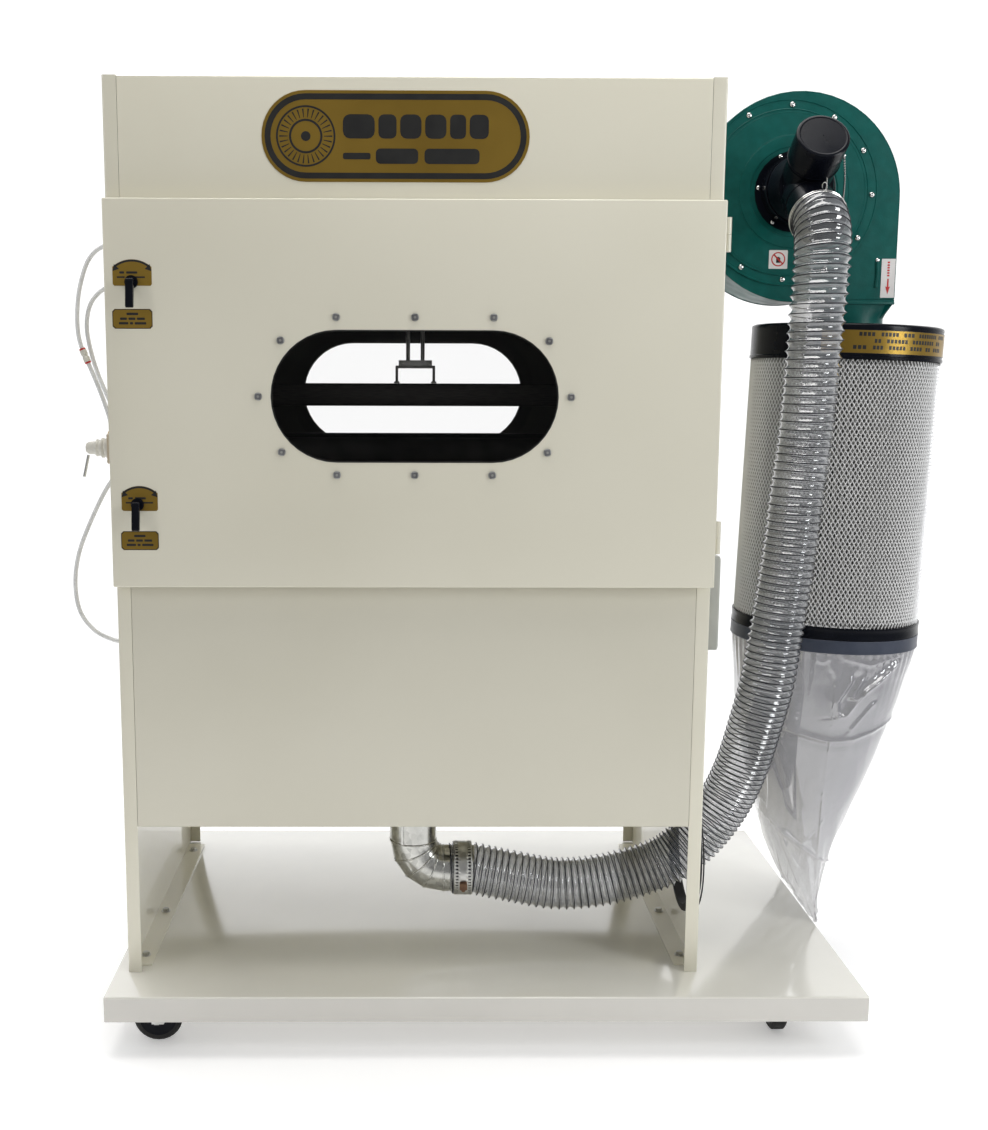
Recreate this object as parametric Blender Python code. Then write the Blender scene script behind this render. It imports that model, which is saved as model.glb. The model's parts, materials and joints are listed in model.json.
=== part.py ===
"""Cartridge-filter cleaning cabinet on a wheeled platform, with the dust collector that serves it.

A sheet-metal cabinet stands on a castered tray. Its hopper empties through a galvanised elbow and a
clear hose into a direct-drive blower, which blows into a canister filter with a clear dust bag below it.
X runs along the front from left to right, Y from the front to the back, Z up from the floor.
"""
from math import acos, cos, pi, radians, sin, sqrt

import bmesh
import bpy
from mathutils import Matrix, Vector

# The machine's own centre line is X = 0 and the cabinet's front sheet is Y = 0. These two place the
# origin under the middle of the whole machine.
CENTRE_X = 0.2288
CENTRE_Y = 0.3697

GAP = 0.0003
SHEET = 0.003
THIN = 0.002

# Platform tray
DECK = 0.130
TRAY_LEFT, TRAY_RIGHT = -0.6156, 0.9084
TRAY_FRONT, TRAY_BACK = -0.1107, 0.8500
TRAY_LIP = 0.052
CASTER_PLATE = (0.050, 0.045, 0.004)

# Cabinet
HALF = 0.5885
BACK = 0.7660
TOP = 1.9075
FLANGE = 0.0275
BEND = 0.004
FOOT_FLANGE = 0.040
HEADER_BOTTOM = 1.660
SKIRT_TOP, SKIRT_BOTTOM = 0.960, 0.4417
HOSE_HOLE = (0.150, 0.340)
HOSE_HOLE_R = 0.125

# Door, with a window the shape of a running track
DOOR_BOTTOM, DOOR_TOP = 0.9406, 1.6802
DOOR_FRONT, DOOR_REAR = -0.030, -0.004
WINDOW_Z = 1.311
WINDOW_R = 0.125
WINDOW_HALF = 0.150
STUD_OFFSET = 0.025
STUD_R = 0.0025
LATCH_X = -0.536
LATCH_Z = {"upper": 1.525, "lower": 1.103}
HINGE_X, HINGE_Y = 0.5952, -0.012
HINGE_Z = {"upper": 1.618, "lower": 1.038}
HINGE_R = 0.006
HINGE_HALF = 0.032
LATCH_SPINDLE_R = 0.006

# Cleaning chamber
ROLLER_Z = 1.190
ROLLER_R = 0.030
ROLLER_Y = {"front": 0.270, "rear": 0.520}
SHAFT_R = 0.010
LIFT_Y = 0.620
LIFT_ROD_X = (-0.0125, 0.0225)
LIFT_ROD_R = 0.005
BEAM_LOW, BEAM_HIGH = 1.281, 1.335

# Dust collector
DUCT_R = 0.050
BLOWER_X, BLOWER_Z = 0.806, 1.741
HOUSING_X, HOUSING_Z = 0.8165, 1.7305
HOUSING_R = 0.2178
HOUSING_FRONT, HOUSING_REAR = 0.300, 0.450
OUTLET_LEFT, OUTLET_BOTTOM = 0.899, 1.5175
COVER_X, COVER_Z = 0.7930, 1.7390
SPIGOT_R = 0.075
CANISTER_TOP = (0.959, 0.375, 1.460)
CANISTER_LEAN = radians(1.8)
CANISTER_R = 0.203
WYE_ANGLE = radians(32)
WYE_FORK = (BLOWER_X, 0.240, BLOWER_Z)
UPPER_BRANCH, LOWER_BRANCH = 0.150, 0.130
CAP_LENGTH = 0.065

# Casters
WHEEL_R = 0.050
WHEEL_HALF = 0.015
TRAIL = 0.040
CASTERS = {
    "front_left": (-0.4826, -0.022, pi),
    "front_right": (0.7580, -0.022, pi / 2),
    "rear_left": (-0.4826, 0.745, pi),
    "rear_right": (0.7580, 0.745, pi / 2),
}

HOSE_R = 0.055
HOSE_ROUTE = [
    (0.0785, 0.150, 0.298), (0.120, 0.150, 0.2978), (0.200, 0.148, 0.282), (0.310, 0.145, 0.264),
    (0.420, 0.143, 0.275), (0.532, 0.141, 0.311), (0.588, 0.140, 0.350), (0.629, 0.137, 0.395),
    (0.667, 0.131, 0.457), (0.696, 0.120, 0.535), (0.7167, 0.105, 0.629), (0.733, 0.090, 0.719),
    (0.744, 0.084, 0.812), (0.756, 0.080, 0.913), (0.7655, 0.075, 1.015), (0.772, 0.070, 1.113),
    (0.7826, 0.070, 1.213), (0.788, 0.066, 1.309), (0.794, 0.062, 1.454), (0.798, 0.061, 1.540),
    (0.802, 0.070, 1.605), (0.8055, 0.0952, 1.6505), (0.806, 0.1290, 1.6716),
]
TUBE_R = 0.0045
TUBE_ROUTES = {
    "air_tube_upper": [
        (-0.5894, 0.200, 1.622), (-0.615, 0.203, 1.621), (-0.639, 0.208, 1.615), (-0.660, 0.213, 1.604),
        (-0.678, 0.218, 1.583), (-0.691, 0.220, 1.550), (-0.699, 0.220, 1.516), (-0.703, 0.220, 1.480),
        (-0.703, 0.220, 1.445), (-0.698, 0.220, 1.415), (-0.686, 0.220, 1.383), (-0.672, 0.220, 1.348),
        (-0.656, 0.220, 1.305), (-0.642, 0.219, 1.260), (-0.639, 0.218, 1.2318),
    ],
    "air_tube_middle": [
        (-0.5894, 0.235, 1.541), (-0.615, 0.235, 1.540), (-0.638, 0.235, 1.535), (-0.659, 0.236, 1.523),
        (-0.676, 0.237, 1.504), (-0.686, 0.239, 1.478), (-0.689, 0.241, 1.445), (-0.683, 0.243, 1.403),
        (-0.670, 0.245, 1.355), (-0.650, 0.245, 1.305), (-0.629, 0.243, 1.260), (-0.624, 0.241, 1.2318),
    ],
    "air_tube_lower": [
        (-0.629, 0.225, 1.1655), (-0.633, 0.225, 1.145), (-0.660, 0.225, 1.103), (-0.692, 0.225, 1.039),
        (-0.718, 0.225, 0.973), (-0.728, 0.225, 0.908), (-0.720, 0.225, 0.848), (-0.692, 0.225, 0.807),
        (-0.655, 0.225, 0.786), (-0.620, 0.225, 0.779), (-0.5894, 0.225, 0.777),
    ],
}

# Each material's colour, roughness, metallic value and opacity.
FINISHES = {
    "ivory_paint": ((0.80, 0.78, 0.68), 0.35, 0.0, 1.0),
    "green_paint": ((0.015, 0.13, 0.11), 0.40, 0.0, 1.0),
    "zinc": ((0.62, 0.62, 0.62), 0.35, 1.0, 1.0),
    "chrome": ((0.75, 0.75, 0.75), 0.12, 1.0, 1.0),
    "galvanised": ((0.55, 0.56, 0.57), 0.38, 1.0, 1.0),
    "black_plastic": ((0.012, 0.012, 0.014), 0.35, 0.0, 1.0),
    "rubber": ((0.02, 0.02, 0.02), 0.70, 0.0, 1.0),
    "tinted_pane": ((0.03, 0.03, 0.035), 0.08, 0.0, 0.5),
    "aluminium": ((0.60, 0.60, 0.61), 0.40, 1.0, 1.0),
    "clear_hose": ((0.60, 0.62, 0.64), 0.25, 0.0, 0.6),
    "milky_tube": ((0.85, 0.86, 0.86), 0.35, 0.0, 0.8),
    "tan_plastic": ((0.62, 0.55, 0.44), 0.50, 0.0, 1.0),
    "grey_enamel": ((0.55, 0.56, 0.57), 0.45, 0.0, 1.0),
    "filter_media": ((0.80, 0.80, 0.78), 0.85, 0.0, 1.0),
    "band_grey": ((0.16, 0.17, 0.20), 0.45, 0.0, 1.0),
    "clear_film": ((0.85, 0.86, 0.88), 0.20, 0.0, 0.35),
    "motor_black": ((0.03, 0.03, 0.03), 0.50, 0.0, 1.0),
    "start_green": ((0.02, 0.35, 0.08), 0.40, 0.0, 1.0),
    "stop_red": ((0.55, 0.02, 0.02), 0.40, 0.0, 1.0),
}


def clear_scene():
    for old in list(bpy.data.objects):
        bpy.data.objects.remove(old)


# ---------------------------------------------------------------- outlines

def fillet(corners, steps=3):
    """Corners (x, y, radius) as an outline with each rounded corner turned into an arc."""
    outline = []
    for index, (x, y, radius) in enumerate(corners):
        here = Vector((x, y))
        if radius == 0:
            outline.append((x, y))
            continue
        before = (Vector(corners[index - 1][:2]) - here).normalized()
        after = (Vector(corners[(index + 1) % len(corners)][:2]) - here).normalized()
        half = acos(max(-1.0, min(1.0, before.dot(after)))) / 2
        centre = here + (before + after).normalized() * (radius / sin(half))
        start = here + before * (radius * cos(half) / sin(half)) - centre
        turn = pi - 2 * half
        side = 1 if start.y * before.x - start.x * before.y > 0 else -1
        for step in range(steps + 1):
            angle = side * turn * step / steps
            x_arm = start.x * cos(angle) - start.y * sin(angle)
            y_arm = start.x * sin(angle) + start.y * cos(angle)
            outline.append((centre.x + x_arm, centre.y + y_arm))
    return outline


def circle(x, y, radius, sides):
    return [(x + radius * cos(2 * pi * k / sides), y + radius * sin(2 * pi * k / sides))
            for k in range(sides)]


def track(half_length, radius, y, steps=12):
    """The outline of a running track centred on x = 0."""
    outline = []
    for end, start_angle in ((half_length, -pi / 2), (-half_length, pi / 2)):
        for step in range(steps + 1):
            angle = start_angle + pi * step / steps
            outline.append((end + radius * cos(angle), y + radius * sin(angle)))
    return outline


# ---------------------------------------------------------------- meshes

def to_mesh(bm):
    bmesh.ops.recalc_face_normals(bm, faces=bm.faces)
    mesh = bpy.data.meshes.new("shape")
    bm.to_mesh(mesh)
    bm.free()
    return mesh


def block(low, high):
    bm = bmesh.new()
    size = [high[k] - low[k] for k in range(3)]
    middle = [(high[k] + low[k]) / 2 for k in range(3)]
    place = Matrix.Translation(middle) @ Matrix.Diagonal((*size, 1))
    bmesh.ops.create_cube(bm, size=1, matrix=place)
    return to_mesh(bm)


def prism(outline, axis, low, high):
    """An outline, given in the two axes other than this one in X, Y, Z order, run from low to high."""
    bm = bmesh.new()
    corners = []
    for u, v in outline:
        point = [u, v]
        point.insert("XYZ".index(axis), low)
        corners.append(bm.verts.new(point))
    face = bm.faces.new(corners)
    run = bmesh.ops.extrude_face_region(bm, geom=[face])
    push = Vector((0, 0, 0))
    push["XYZ".index(axis)] = high - low
    moved = [part for part in run["geom"] if isinstance(part, bmesh.types.BMVert)]
    bmesh.ops.translate(bm, verts=moved, vec=push)
    return to_mesh(bm)


def bar(start, end, radius, sides=24, end_radius=None):
    """A round bar, or a cone, between two points."""
    start, end = Vector(start), Vector(end)
    run = end - start
    bm = bmesh.new()
    place = Matrix.Translation((start + end) / 2) @ run.to_track_quat("Z", "Y").to_matrix().to_4x4()
    bmesh.ops.create_cone(bm, cap_ends=True, segments=sides, radius1=radius,
                          radius2=radius if end_radius is None else end_radius,
                          depth=run.length, matrix=place)
    return to_mesh(bm)


def ring(profile, centre, direction, sides=32):
    """A closed profile of (radius, distance) turned about the line from centre along direction."""
    turn = Vector(direction).to_track_quat("Z", "Y").to_matrix().to_4x4()
    place = Matrix.Translation(centre) @ turn
    bm = bmesh.new()
    loops = []
    for step in range(sides):
        angle = 2 * pi * step / sides
        loops.append([bm.verts.new(place @ Vector((r * cos(angle), r * sin(angle), d)))
                      for r, d in profile])
    for step in range(sides):
        here, there = loops[step], loops[(step + 1) % sides]
        for k in range(len(profile)):
            after = (k + 1) % len(profile)
            bm.faces.new((here[k], here[after], there[after], there[k]))
    return to_mesh(bm)


def turned(profile, centre, direction, sides=32):
    """A profile of (radius, distance) that starts and ends on the axis or meets it, turned into a solid."""
    turn = Vector(direction).to_track_quat("Z", "Y").to_matrix().to_4x4()
    place = Matrix.Translation(centre) @ turn
    bm = bmesh.new()
    loops = []
    for r, d in profile:
        if r == 0:
            loops.append([bm.verts.new(place @ Vector((0, 0, d)))])
        else:
            loops.append([bm.verts.new(place @ Vector((r * cos(a), r * sin(a), d)))
                          for a in (2 * pi * k / sides for k in range(sides))])
    for here, there in zip(loops, loops[1:] + loops[:1]):
        if len(here) == len(there) == 1:
            continue
        for k in range(sides):
            after = (k + 1) % sides
            corners = [here[k % len(here)], here[after % len(here)], there[after % len(there)],
                       there[k % len(there)]]
            bm.faces.new(list(dict.fromkeys(corners)))
    return to_mesh(bm)


def loft(rings, floor=False):
    """Rings of equal point counts joined in order, with the last one closed where floor is set."""
    bm = bmesh.new()
    loops = [[bm.verts.new(point) for point in points] for points in rings]
    for here, there in zip(loops, loops[1:]):
        for k in range(len(here)):
            after = (k + 1) % len(here)
            bm.faces.new((here[k], here[after], there[after], there[k]))
    if floor:
        bm.faces.new(loops[-1])
    return to_mesh(bm)


def evaluated(mesh, add_modifiers):
    """The mesh after the modifiers that add_modifiers puts on an object made from it."""
    holder = bpy.data.objects.new("holder", mesh)
    bpy.context.scene.collection.objects.link(holder)
    add_modifiers(holder)
    depsgraph = bpy.context.evaluated_depsgraph_get()
    result = bpy.data.meshes.new_from_object(holder.evaluated_get(depsgraph))
    bpy.data.objects.remove(holder)
    return result


def combine(base, tools, operation):
    """The base with each tool mesh united with it or cut from it."""
    for tool in tools:
        helper = bpy.data.objects.new("helper", tool)
        bpy.context.scene.collection.objects.link(helper)

        def add_boolean(holder):
            boolean = holder.modifiers.new("Boolean", "BOOLEAN")
            boolean.operation = operation
            boolean.solver = "EXACT"
            boolean.object = helper

        base = evaluated(base, add_boolean)
        bpy.data.objects.remove(helper)
    return base


def cut(base, *tools):
    return combine(base, tools, "DIFFERENCE")


def unite(base, *tools):
    return combine(base, tools, "UNION")


def gather(meshes):
    """Several bodies that stay clear of each other, as one mesh to cut with or unite."""
    bm = bmesh.new()
    for mesh in meshes:
        bm.from_mesh(mesh)
    return to_mesh(bm)


def shell(mesh, thickness):
    """An open surface given a thickness on its inner side."""
    def add_solidify(holder):
        solidify = holder.modifiers.new("Solidify", "SOLIDIFY")
        solidify.thickness = thickness
        solidify.offset = -1
        solidify.use_even_offset = True
    return evaluated(mesh, add_solidify)


def tray(low, high, open_side, thickness, bend, open_axis):
    """A folded sheet tray: a block with one side left open and its folds rounded."""
    bm = bmesh.new()
    bm.from_mesh(block(low, high))
    limit = low[open_axis] if open_side == "low" else high[open_axis]
    lid = [face for face in bm.faces
           if all(abs(vert.co[open_axis] - limit) < 1e-6 for vert in face.verts)]
    bmesh.ops.delete(bm, geom=lid, context="FACES_ONLY")
    folds = [edge for edge in bm.edges if len(edge.link_faces) == 2]
    bmesh.ops.bevel(bm, geom=folds, offset=bend, offset_type="OFFSET", segments=3, profile=0.5,
                    affect="EDGES", clamp_overlap=True)
    bmesh.ops.recalc_face_normals(bm, faces=bm.faces)
    centre = (Vector(low) + Vector(high)) / 2
    if sum((face.calc_center_median() - centre).dot(face.normal) for face in bm.faces) < 0:
        bmesh.ops.reverse_faces(bm, faces=bm.faces)
    mesh = bpy.data.meshes.new("tray")
    bm.to_mesh(mesh)
    bm.free()
    return shell(mesh, thickness)


# ---------------------------------------------------------------- objects

def material(name):
    found = bpy.data.materials.get(name)
    if found:
        return found
    colour, roughness, metallic, opacity = FINISHES[name]
    made = bpy.data.materials.new(name)
    made.use_nodes = True
    shader = made.node_tree.nodes["Principled BSDF"]
    shader.inputs["Base Color"].default_value = (*colour, 1)
    shader.inputs["Roughness"].default_value = roughness
    shader.inputs["Metallic"].default_value = metallic
    shader.inputs["Alpha"].default_value = opacity
    return made


def empty(name, location, rotation=(0, 0, 0), parent=None):
    made = bpy.data.objects.new(name, None)
    bpy.context.scene.collection.objects.link(made)
    made.location = location
    made.rotation_euler = rotation
    made.parent = parent
    return made


def add(name, mesh, finish, parent, pivot=(0, 0, 0)):
    """One named sub-part. A moving one has its origin at pivot, on its joint's axis."""
    mesh.transform(Matrix.Translation(-Vector(pivot)))
    mesh.materials.clear()
    mesh.materials.append(material(finish))
    mesh.shade_smooth()
    mesh.set_sharp_from_angle(angle=radians(32))
    mesh.name = name
    made = bpy.data.objects.new(name, mesh)
    bpy.context.scene.collection.objects.link(made)
    made.location = pivot
    made.parent = parent
    return made


def smooth_route(points, per_span):
    """Points along a Catmull-Rom curve through the given points."""
    knots = [Vector(point) for point in points]
    knots = [2 * knots[0] - knots[1], *knots, 2 * knots[-1] - knots[-2]]
    curve = []
    for k in range(1, len(knots) - 2):
        before, start, end, after = knots[k - 1:k + 3]
        for step in range(per_span):
            t = step / per_span
            curve.append(0.5 * (2 * start + (end - before) * t
                                + (2 * before - 5 * start + 4 * end - after) * t ** 2
                                + (3 * start - before - 3 * end + after) * t ** 3))
    curve.append(knots[-2])
    return curve


def add_tube(name, route, radius, finish, parent, resolution, per_span):
    points = smooth_route(route, per_span)
    data = bpy.data.curves.new(name, "CURVE")
    data.dimensions = "3D"
    data.bevel_depth = radius
    data.bevel_resolution = resolution
    data.use_fill_caps = True
    data.materials.append(material(finish))
    spline = data.splines.new("POLY")
    spline.points.add(len(points) - 1)
    for knot, point in zip(spline.points, points):
        knot.co = (*point, 1)
    made = bpy.data.objects.new(name, data)
    bpy.context.scene.collection.objects.link(made)
    made.parent = parent


# ---------------------------------------------------------------- platform and casters

def build_platform(machine):
    deck = tray((TRAY_LEFT, TRAY_FRONT, DECK - TRAY_LIP), (TRAY_RIGHT, TRAY_BACK, DECK),
                "low", SHEET, 0.003, 2)
    pad_x, pad_y, pad_z = CASTER_PLATE
    under = DECK - SHEET
    pads = [block((x - pad_x, y - pad_y, under - pad_z), (x + pad_x, y + pad_y, under + SHEET / 2))
            for x, y, _ in CASTERS.values()]
    add("platform", unite(deck, *pads), "ivory_paint", machine)


def build_caster(name, x, y, heading, machine):
    swivel = empty(f"{name}_swivel_axis", (x, y, 0), (0, 0, heading), machine)
    head_top = DECK - SHEET - CASTER_PLATE[2] - GAP
    crown = 0.110
    leg = 0.003
    inner = WHEEL_HALF + 0.003
    outline = [(-0.024, crown + 0.004), (0.026, crown + 0.004), (TRAIL + 0.014, WHEEL_R + 0.008),
               (TRAIL + 0.012, WHEEL_R - 0.012), (TRAIL - 0.012, WHEEL_R - 0.012), (0.004, 0.078)]
    legs = [prism(outline, "Y", side * inner, side * (inner + leg)) for side in (-1, 1)]
    bridge = block((-0.024, -inner - leg / 2, crown), (0.026, inner + leg / 2, crown + 0.004))
    axle = bar((TRAIL, -inner - leg - 0.003, WHEEL_R), (TRAIL, inner + leg + 0.003, WHEEL_R), 0.006, 10)
    race = bar((0, 0, crown + 0.002), (0, 0, head_top), 0.028, 16)
    add(f"{name}_fork", unite(bridge, race, axle, *legs), "zinc", swivel)
    tread = WHEEL_HALF - 0.004
    profile = [(0.0065, -WHEEL_HALF), (0.045, -WHEEL_HALF), (WHEEL_R, -tread), (WHEEL_R, tread),
               (0.045, WHEEL_HALF), (0.0065, WHEEL_HALF)]
    hub = (TRAIL, 0, WHEEL_R)
    add(f"{name}_wheel", ring(profile, hub, (0, 1, 0), 28), "rubber", swivel, hub)


# ---------------------------------------------------------------- cabinet

def side_panel(side):
    """A wall that is also two legs: a web with flanges folded in along the front, back and foot."""
    inner = HALF - SHEET
    flange = HALF - FLANGE
    corners = [(HALF, 0, BEND), (HALF, BACK, BEND), (flange, BACK, 0), (flange, BACK - SHEET, 0),
               (inner, BACK - SHEET, 0), (inner, SHEET, 0), (flange, SHEET, 0), (flange, 0, 0)]
    outline = [(side * x, y) for x, y in fillet(corners)]
    wall = prism(outline, "Z", DECK + 2 * GAP, TOP)
    foot = [side * (inner - FOOT_FLANGE), side * (HALF - SHEET / 2)]
    low, high = min(foot), max(foot)
    return unite(wall, block((low, 0.030, DECK + GAP), (high, BACK - 0.030, DECK + GAP + SHEET)))


def build_cabinet(machine):
    inner = HALF - SHEET - GAP
    between = HALF - FLANGE - GAP
    hole_y, hole_z = HOSE_HOLE
    add("side_panel_left", side_panel(-1), "ivory_paint", machine)
    hose_hole = bar((HALF - 0.02, hole_y, hole_z), (HALF + 0.02, hole_y, hole_z), HOSE_HOLE_R, 32)
    add("side_panel_right", cut(side_panel(1), hose_hole), "ivory_paint", machine)

    header = fillet([(0, HEADER_BOTTOM, 0), (0, TOP, BEND), (0.030, TOP, 0), (0.030, TOP - SHEET, 0),
                     (SHEET, TOP - SHEET, 0), (SHEET, HEADER_BOTTOM, 0)])
    add("header_panel", prism(header, "X", -between, between), "ivory_paint", machine)
    skirt = fillet([(0, SKIRT_TOP, 0), (0, SKIRT_BOTTOM, BEND), (0.020, SKIRT_BOTTOM, 0),
                    (0.020, SKIRT_BOTTOM + SHEET, 0), (SHEET, SKIRT_BOTTOM + SHEET, 0),
                    (SHEET, SKIRT_TOP, 0)])
    add("hopper_skirt", prism(skirt, "X", -between, between), "ivory_paint", machine)

    back_face = BACK - SHEET - GAP
    top = tray((-inner, 0.030 + GAP, TOP - 0.030), (inner, back_face - SHEET - GAP, TOP),
               "low", SHEET, 0.003, 2)
    add("top_panel", top, "ivory_paint", machine)
    window = prism(track(WINDOW_HALF, WINDOW_R, WINDOW_Z), "Y", BACK - 0.03, BACK + 0.03)
    sheet = block((-inner, back_face - SHEET, SKIRT_BOTTOM), (inner, back_face, TOP))
    add("back_panel", cut(sheet, window), "ivory_paint", machine)
    pane_back = back_face - SHEET - GAP
    pane = prism(track(WINDOW_HALF, WINDOW_R + 0.030, WINDOW_Z), "Y", pane_back - 0.004, pane_back)
    add("back_window_pane", pane, "tinted_pane", machine)

    per_side = 6
    top_ring = rectangle_ring((0, 0.3805), 0.580, 0.3740, 0.955, per_side)
    outlet = [(0, hole_y, z, r) for z, r in ((0.500, DUCT_R + 0.001), (0.4551, DUCT_R + 0.001))]
    rings = [top_ring] + [[(x + r * cos(a), y + r * sin(a), z) for a in corner_angles(per_side)]
                          for x, y, z, r in outlet]
    add("hopper", shell(loft(rings), THIN), "ivory_paint", machine)

    sleeve = HOSE_HOLE_R - 0.0005
    lip_in, lip_out = HALF - SHEET - GAP, HALF + GAP
    profile = [(sleeve - 0.009, lip_in - 0.008), (sleeve + 0.006, lip_in - 0.006),
               (sleeve + 0.006, lip_in), (sleeve, lip_in), (sleeve, lip_out), (sleeve + 0.008, lip_out),
               (sleeve + 0.008, lip_out + 0.006), (sleeve - 0.004, lip_out + 0.010),
               (sleeve - 0.009, lip_out + 0.008)]
    add("hose_grommet", ring(profile, (0, hole_y, hole_z), (1, 0, 0), 32), "rubber", machine)


def corner_angles(per_side):
    """Angles round a circle, evenly spaced, starting at the corner between -X and -Y."""
    return [radians(225) + 2 * pi * k / (4 * per_side) for k in range(4 * per_side)]


def rectangle_ring(centre, half_x, half_y, z, per_side):
    """Points round a rectangle, counter-clockwise from its -X, -Y corner."""
    corners = [(-half_x, -half_y), (half_x, -half_y), (half_x, half_y), (-half_x, half_y)]
    points = []
    for k, (x, y) in enumerate(corners):
        next_x, next_y = corners[(k + 1) % 4]
        for step in range(per_side):
            share = step / per_side
            points.append((centre[0] + x + (next_x - x) * share, centre[1] + y + (next_y - y) * share, z))
    return points


# ---------------------------------------------------------------- door

def stud_places():
    """The twelve window studs, as offsets from the window's centre."""
    reach = WINDOW_R + STUD_OFFSET
    slant = reach / sqrt(2)
    places = [(x, side * reach) for x in (-WINDOW_HALF, 0, WINDOW_HALF) for side in (-1, 1)]
    for side in (-1, 1):
        end = side * WINDOW_HALF
        places += [(end + side * slant, -slant), (end + side * reach, 0), (end + side * slant, slant)]
    return places


def build_door(machine):
    pivot = (HINGE_X, HINGE_Y, (DOOR_BOTTOM + DOOR_TOP) / 2)
    pan = tray((-HALF, DOOR_FRONT, DOOR_BOTTOM), (HALF, DOOR_REAR, DOOR_TOP), "high", THIN, 0.003, 1)
    through = (DOOR_FRONT - 0.02, DOOR_FRONT + 0.02)
    window = prism(track(WINDOW_HALF, WINDOW_R, WINDOW_Z), "Y", *through)
    holes = [prism(circle(x, WINDOW_Z + z, STUD_R + GAP, 8), "Y", *through) for x, z in stud_places()]
    holes += [prism(circle(LATCH_X, z, LATCH_SPINDLE_R + 0.0005, 16), "Y", *through)
              for z in LATCH_Z.values()]
    add("door", cut(pan, gather([window, *holes])), "ivory_paint", machine, pivot)

    skin_back = DOOR_FRONT + THIN + GAP
    pane = prism(track(WINDOW_HALF, WINDOW_R + 0.018, WINDOW_Z), "Y", skin_back, skin_back + 0.004)
    add("door_window_pane", pane, "tinted_pane", machine, pivot)
    ring_front = skin_back + 0.004 + GAP
    retainer = prism(track(WINDOW_HALF, WINDOW_R + 0.040, WINDOW_Z), "Y", ring_front, ring_front + 0.003)
    opening = prism(track(WINDOW_HALF, WINDOW_R + 0.006, WINDOW_Z), "Y", ring_front - 0.01,
                    ring_front + 0.01)
    studs = [bar((x, ring_front + 0.001, WINDOW_Z + z), (x, DOOR_FRONT - 0.0055, WINDOW_Z + z), STUD_R, 8)
             for x, z in stud_places()]
    add("window_retainer", unite(cut(retainer, opening), gather(studs)), "zinc", machine, pivot)

    for place, z in HINGE_Z.items():
        axis = (HINGE_X, HINGE_Y)
        pin = bar((*axis, z - 0.005), (*axis, z + HINGE_HALF - 0.002), 0.003, 12)
        socket = bar((*axis, z - HINGE_HALF), (*axis, z - GAP), HINGE_R, 20)
        add(f"{place}_hinge_pin", unite(socket, pin), "ivory_paint", machine)
        profile = [(0.0031, z + GAP), (HINGE_R, z + GAP), (HINGE_R, z + HINGE_HALF),
                   (0.0031, z + HINGE_HALF)]
        add(f"{place}_hinge_sleeve", ring(profile, (*axis, 0), (0, 0, 1), 20), "ivory_paint", machine,
            (*axis, z))

    for place, z in LATCH_Z.items():
        build_latch(place, z, machine)


def build_latch(place, z, machine):
    """A lift-and-turn latch: a lever on a spindle that carries a cam behind the door's skin."""
    front = DOOR_FRONT - GAP
    spindle_front = front - 0.009
    axis = (LATCH_X, 0, z)
    spindle = bar((LATCH_X, spindle_front, z), (LATCH_X, 0.0125, z), LATCH_SPINDLE_R, 16)
    rosette = bar((LATCH_X, front, z), (LATCH_X, front - 0.005, z), 0.0125, 24)
    cam = prism(fillet([(LATCH_X - 0.009, z + 0.009, 0.004), (LATCH_X + 0.009, z + 0.009, 0.004),
                        (LATCH_X + 0.009, z - 0.042, 0.004), (LATCH_X - 0.009, z - 0.042, 0.004)]),
                "Y", 0.0065, 0.0105)
    add(f"{place}_latch_spindle", unite(spindle, rosette, cam), "black_plastic", machine, axis)

    head = 0.007
    hinge_y = spindle_front - head - 0.0005
    lever = []
    for step in range(9):
        angle = radians(-20 + 210 * step / 8)
        lever.append((hinge_y + head * cos(angle), z + head * sin(angle)))
    lever += [(hinge_y - 0.0090, z - 0.014), (hinge_y - 0.0130, z - 0.045), (hinge_y - 0.0115, z - 0.0485),
              (hinge_y - 0.0060, z - 0.0490), (hinge_y - 0.0045, z - 0.046), (hinge_y + 0.0015, z - 0.015)]
    grip = prism(lever, "X", LATCH_X - 0.0075, LATCH_X + 0.0075)
    add(f"{place}_latch_lever", grip, "black_plastic", machine, (LATCH_X, hinge_y, z))


# ---------------------------------------------------------------- cleaning chamber

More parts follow.
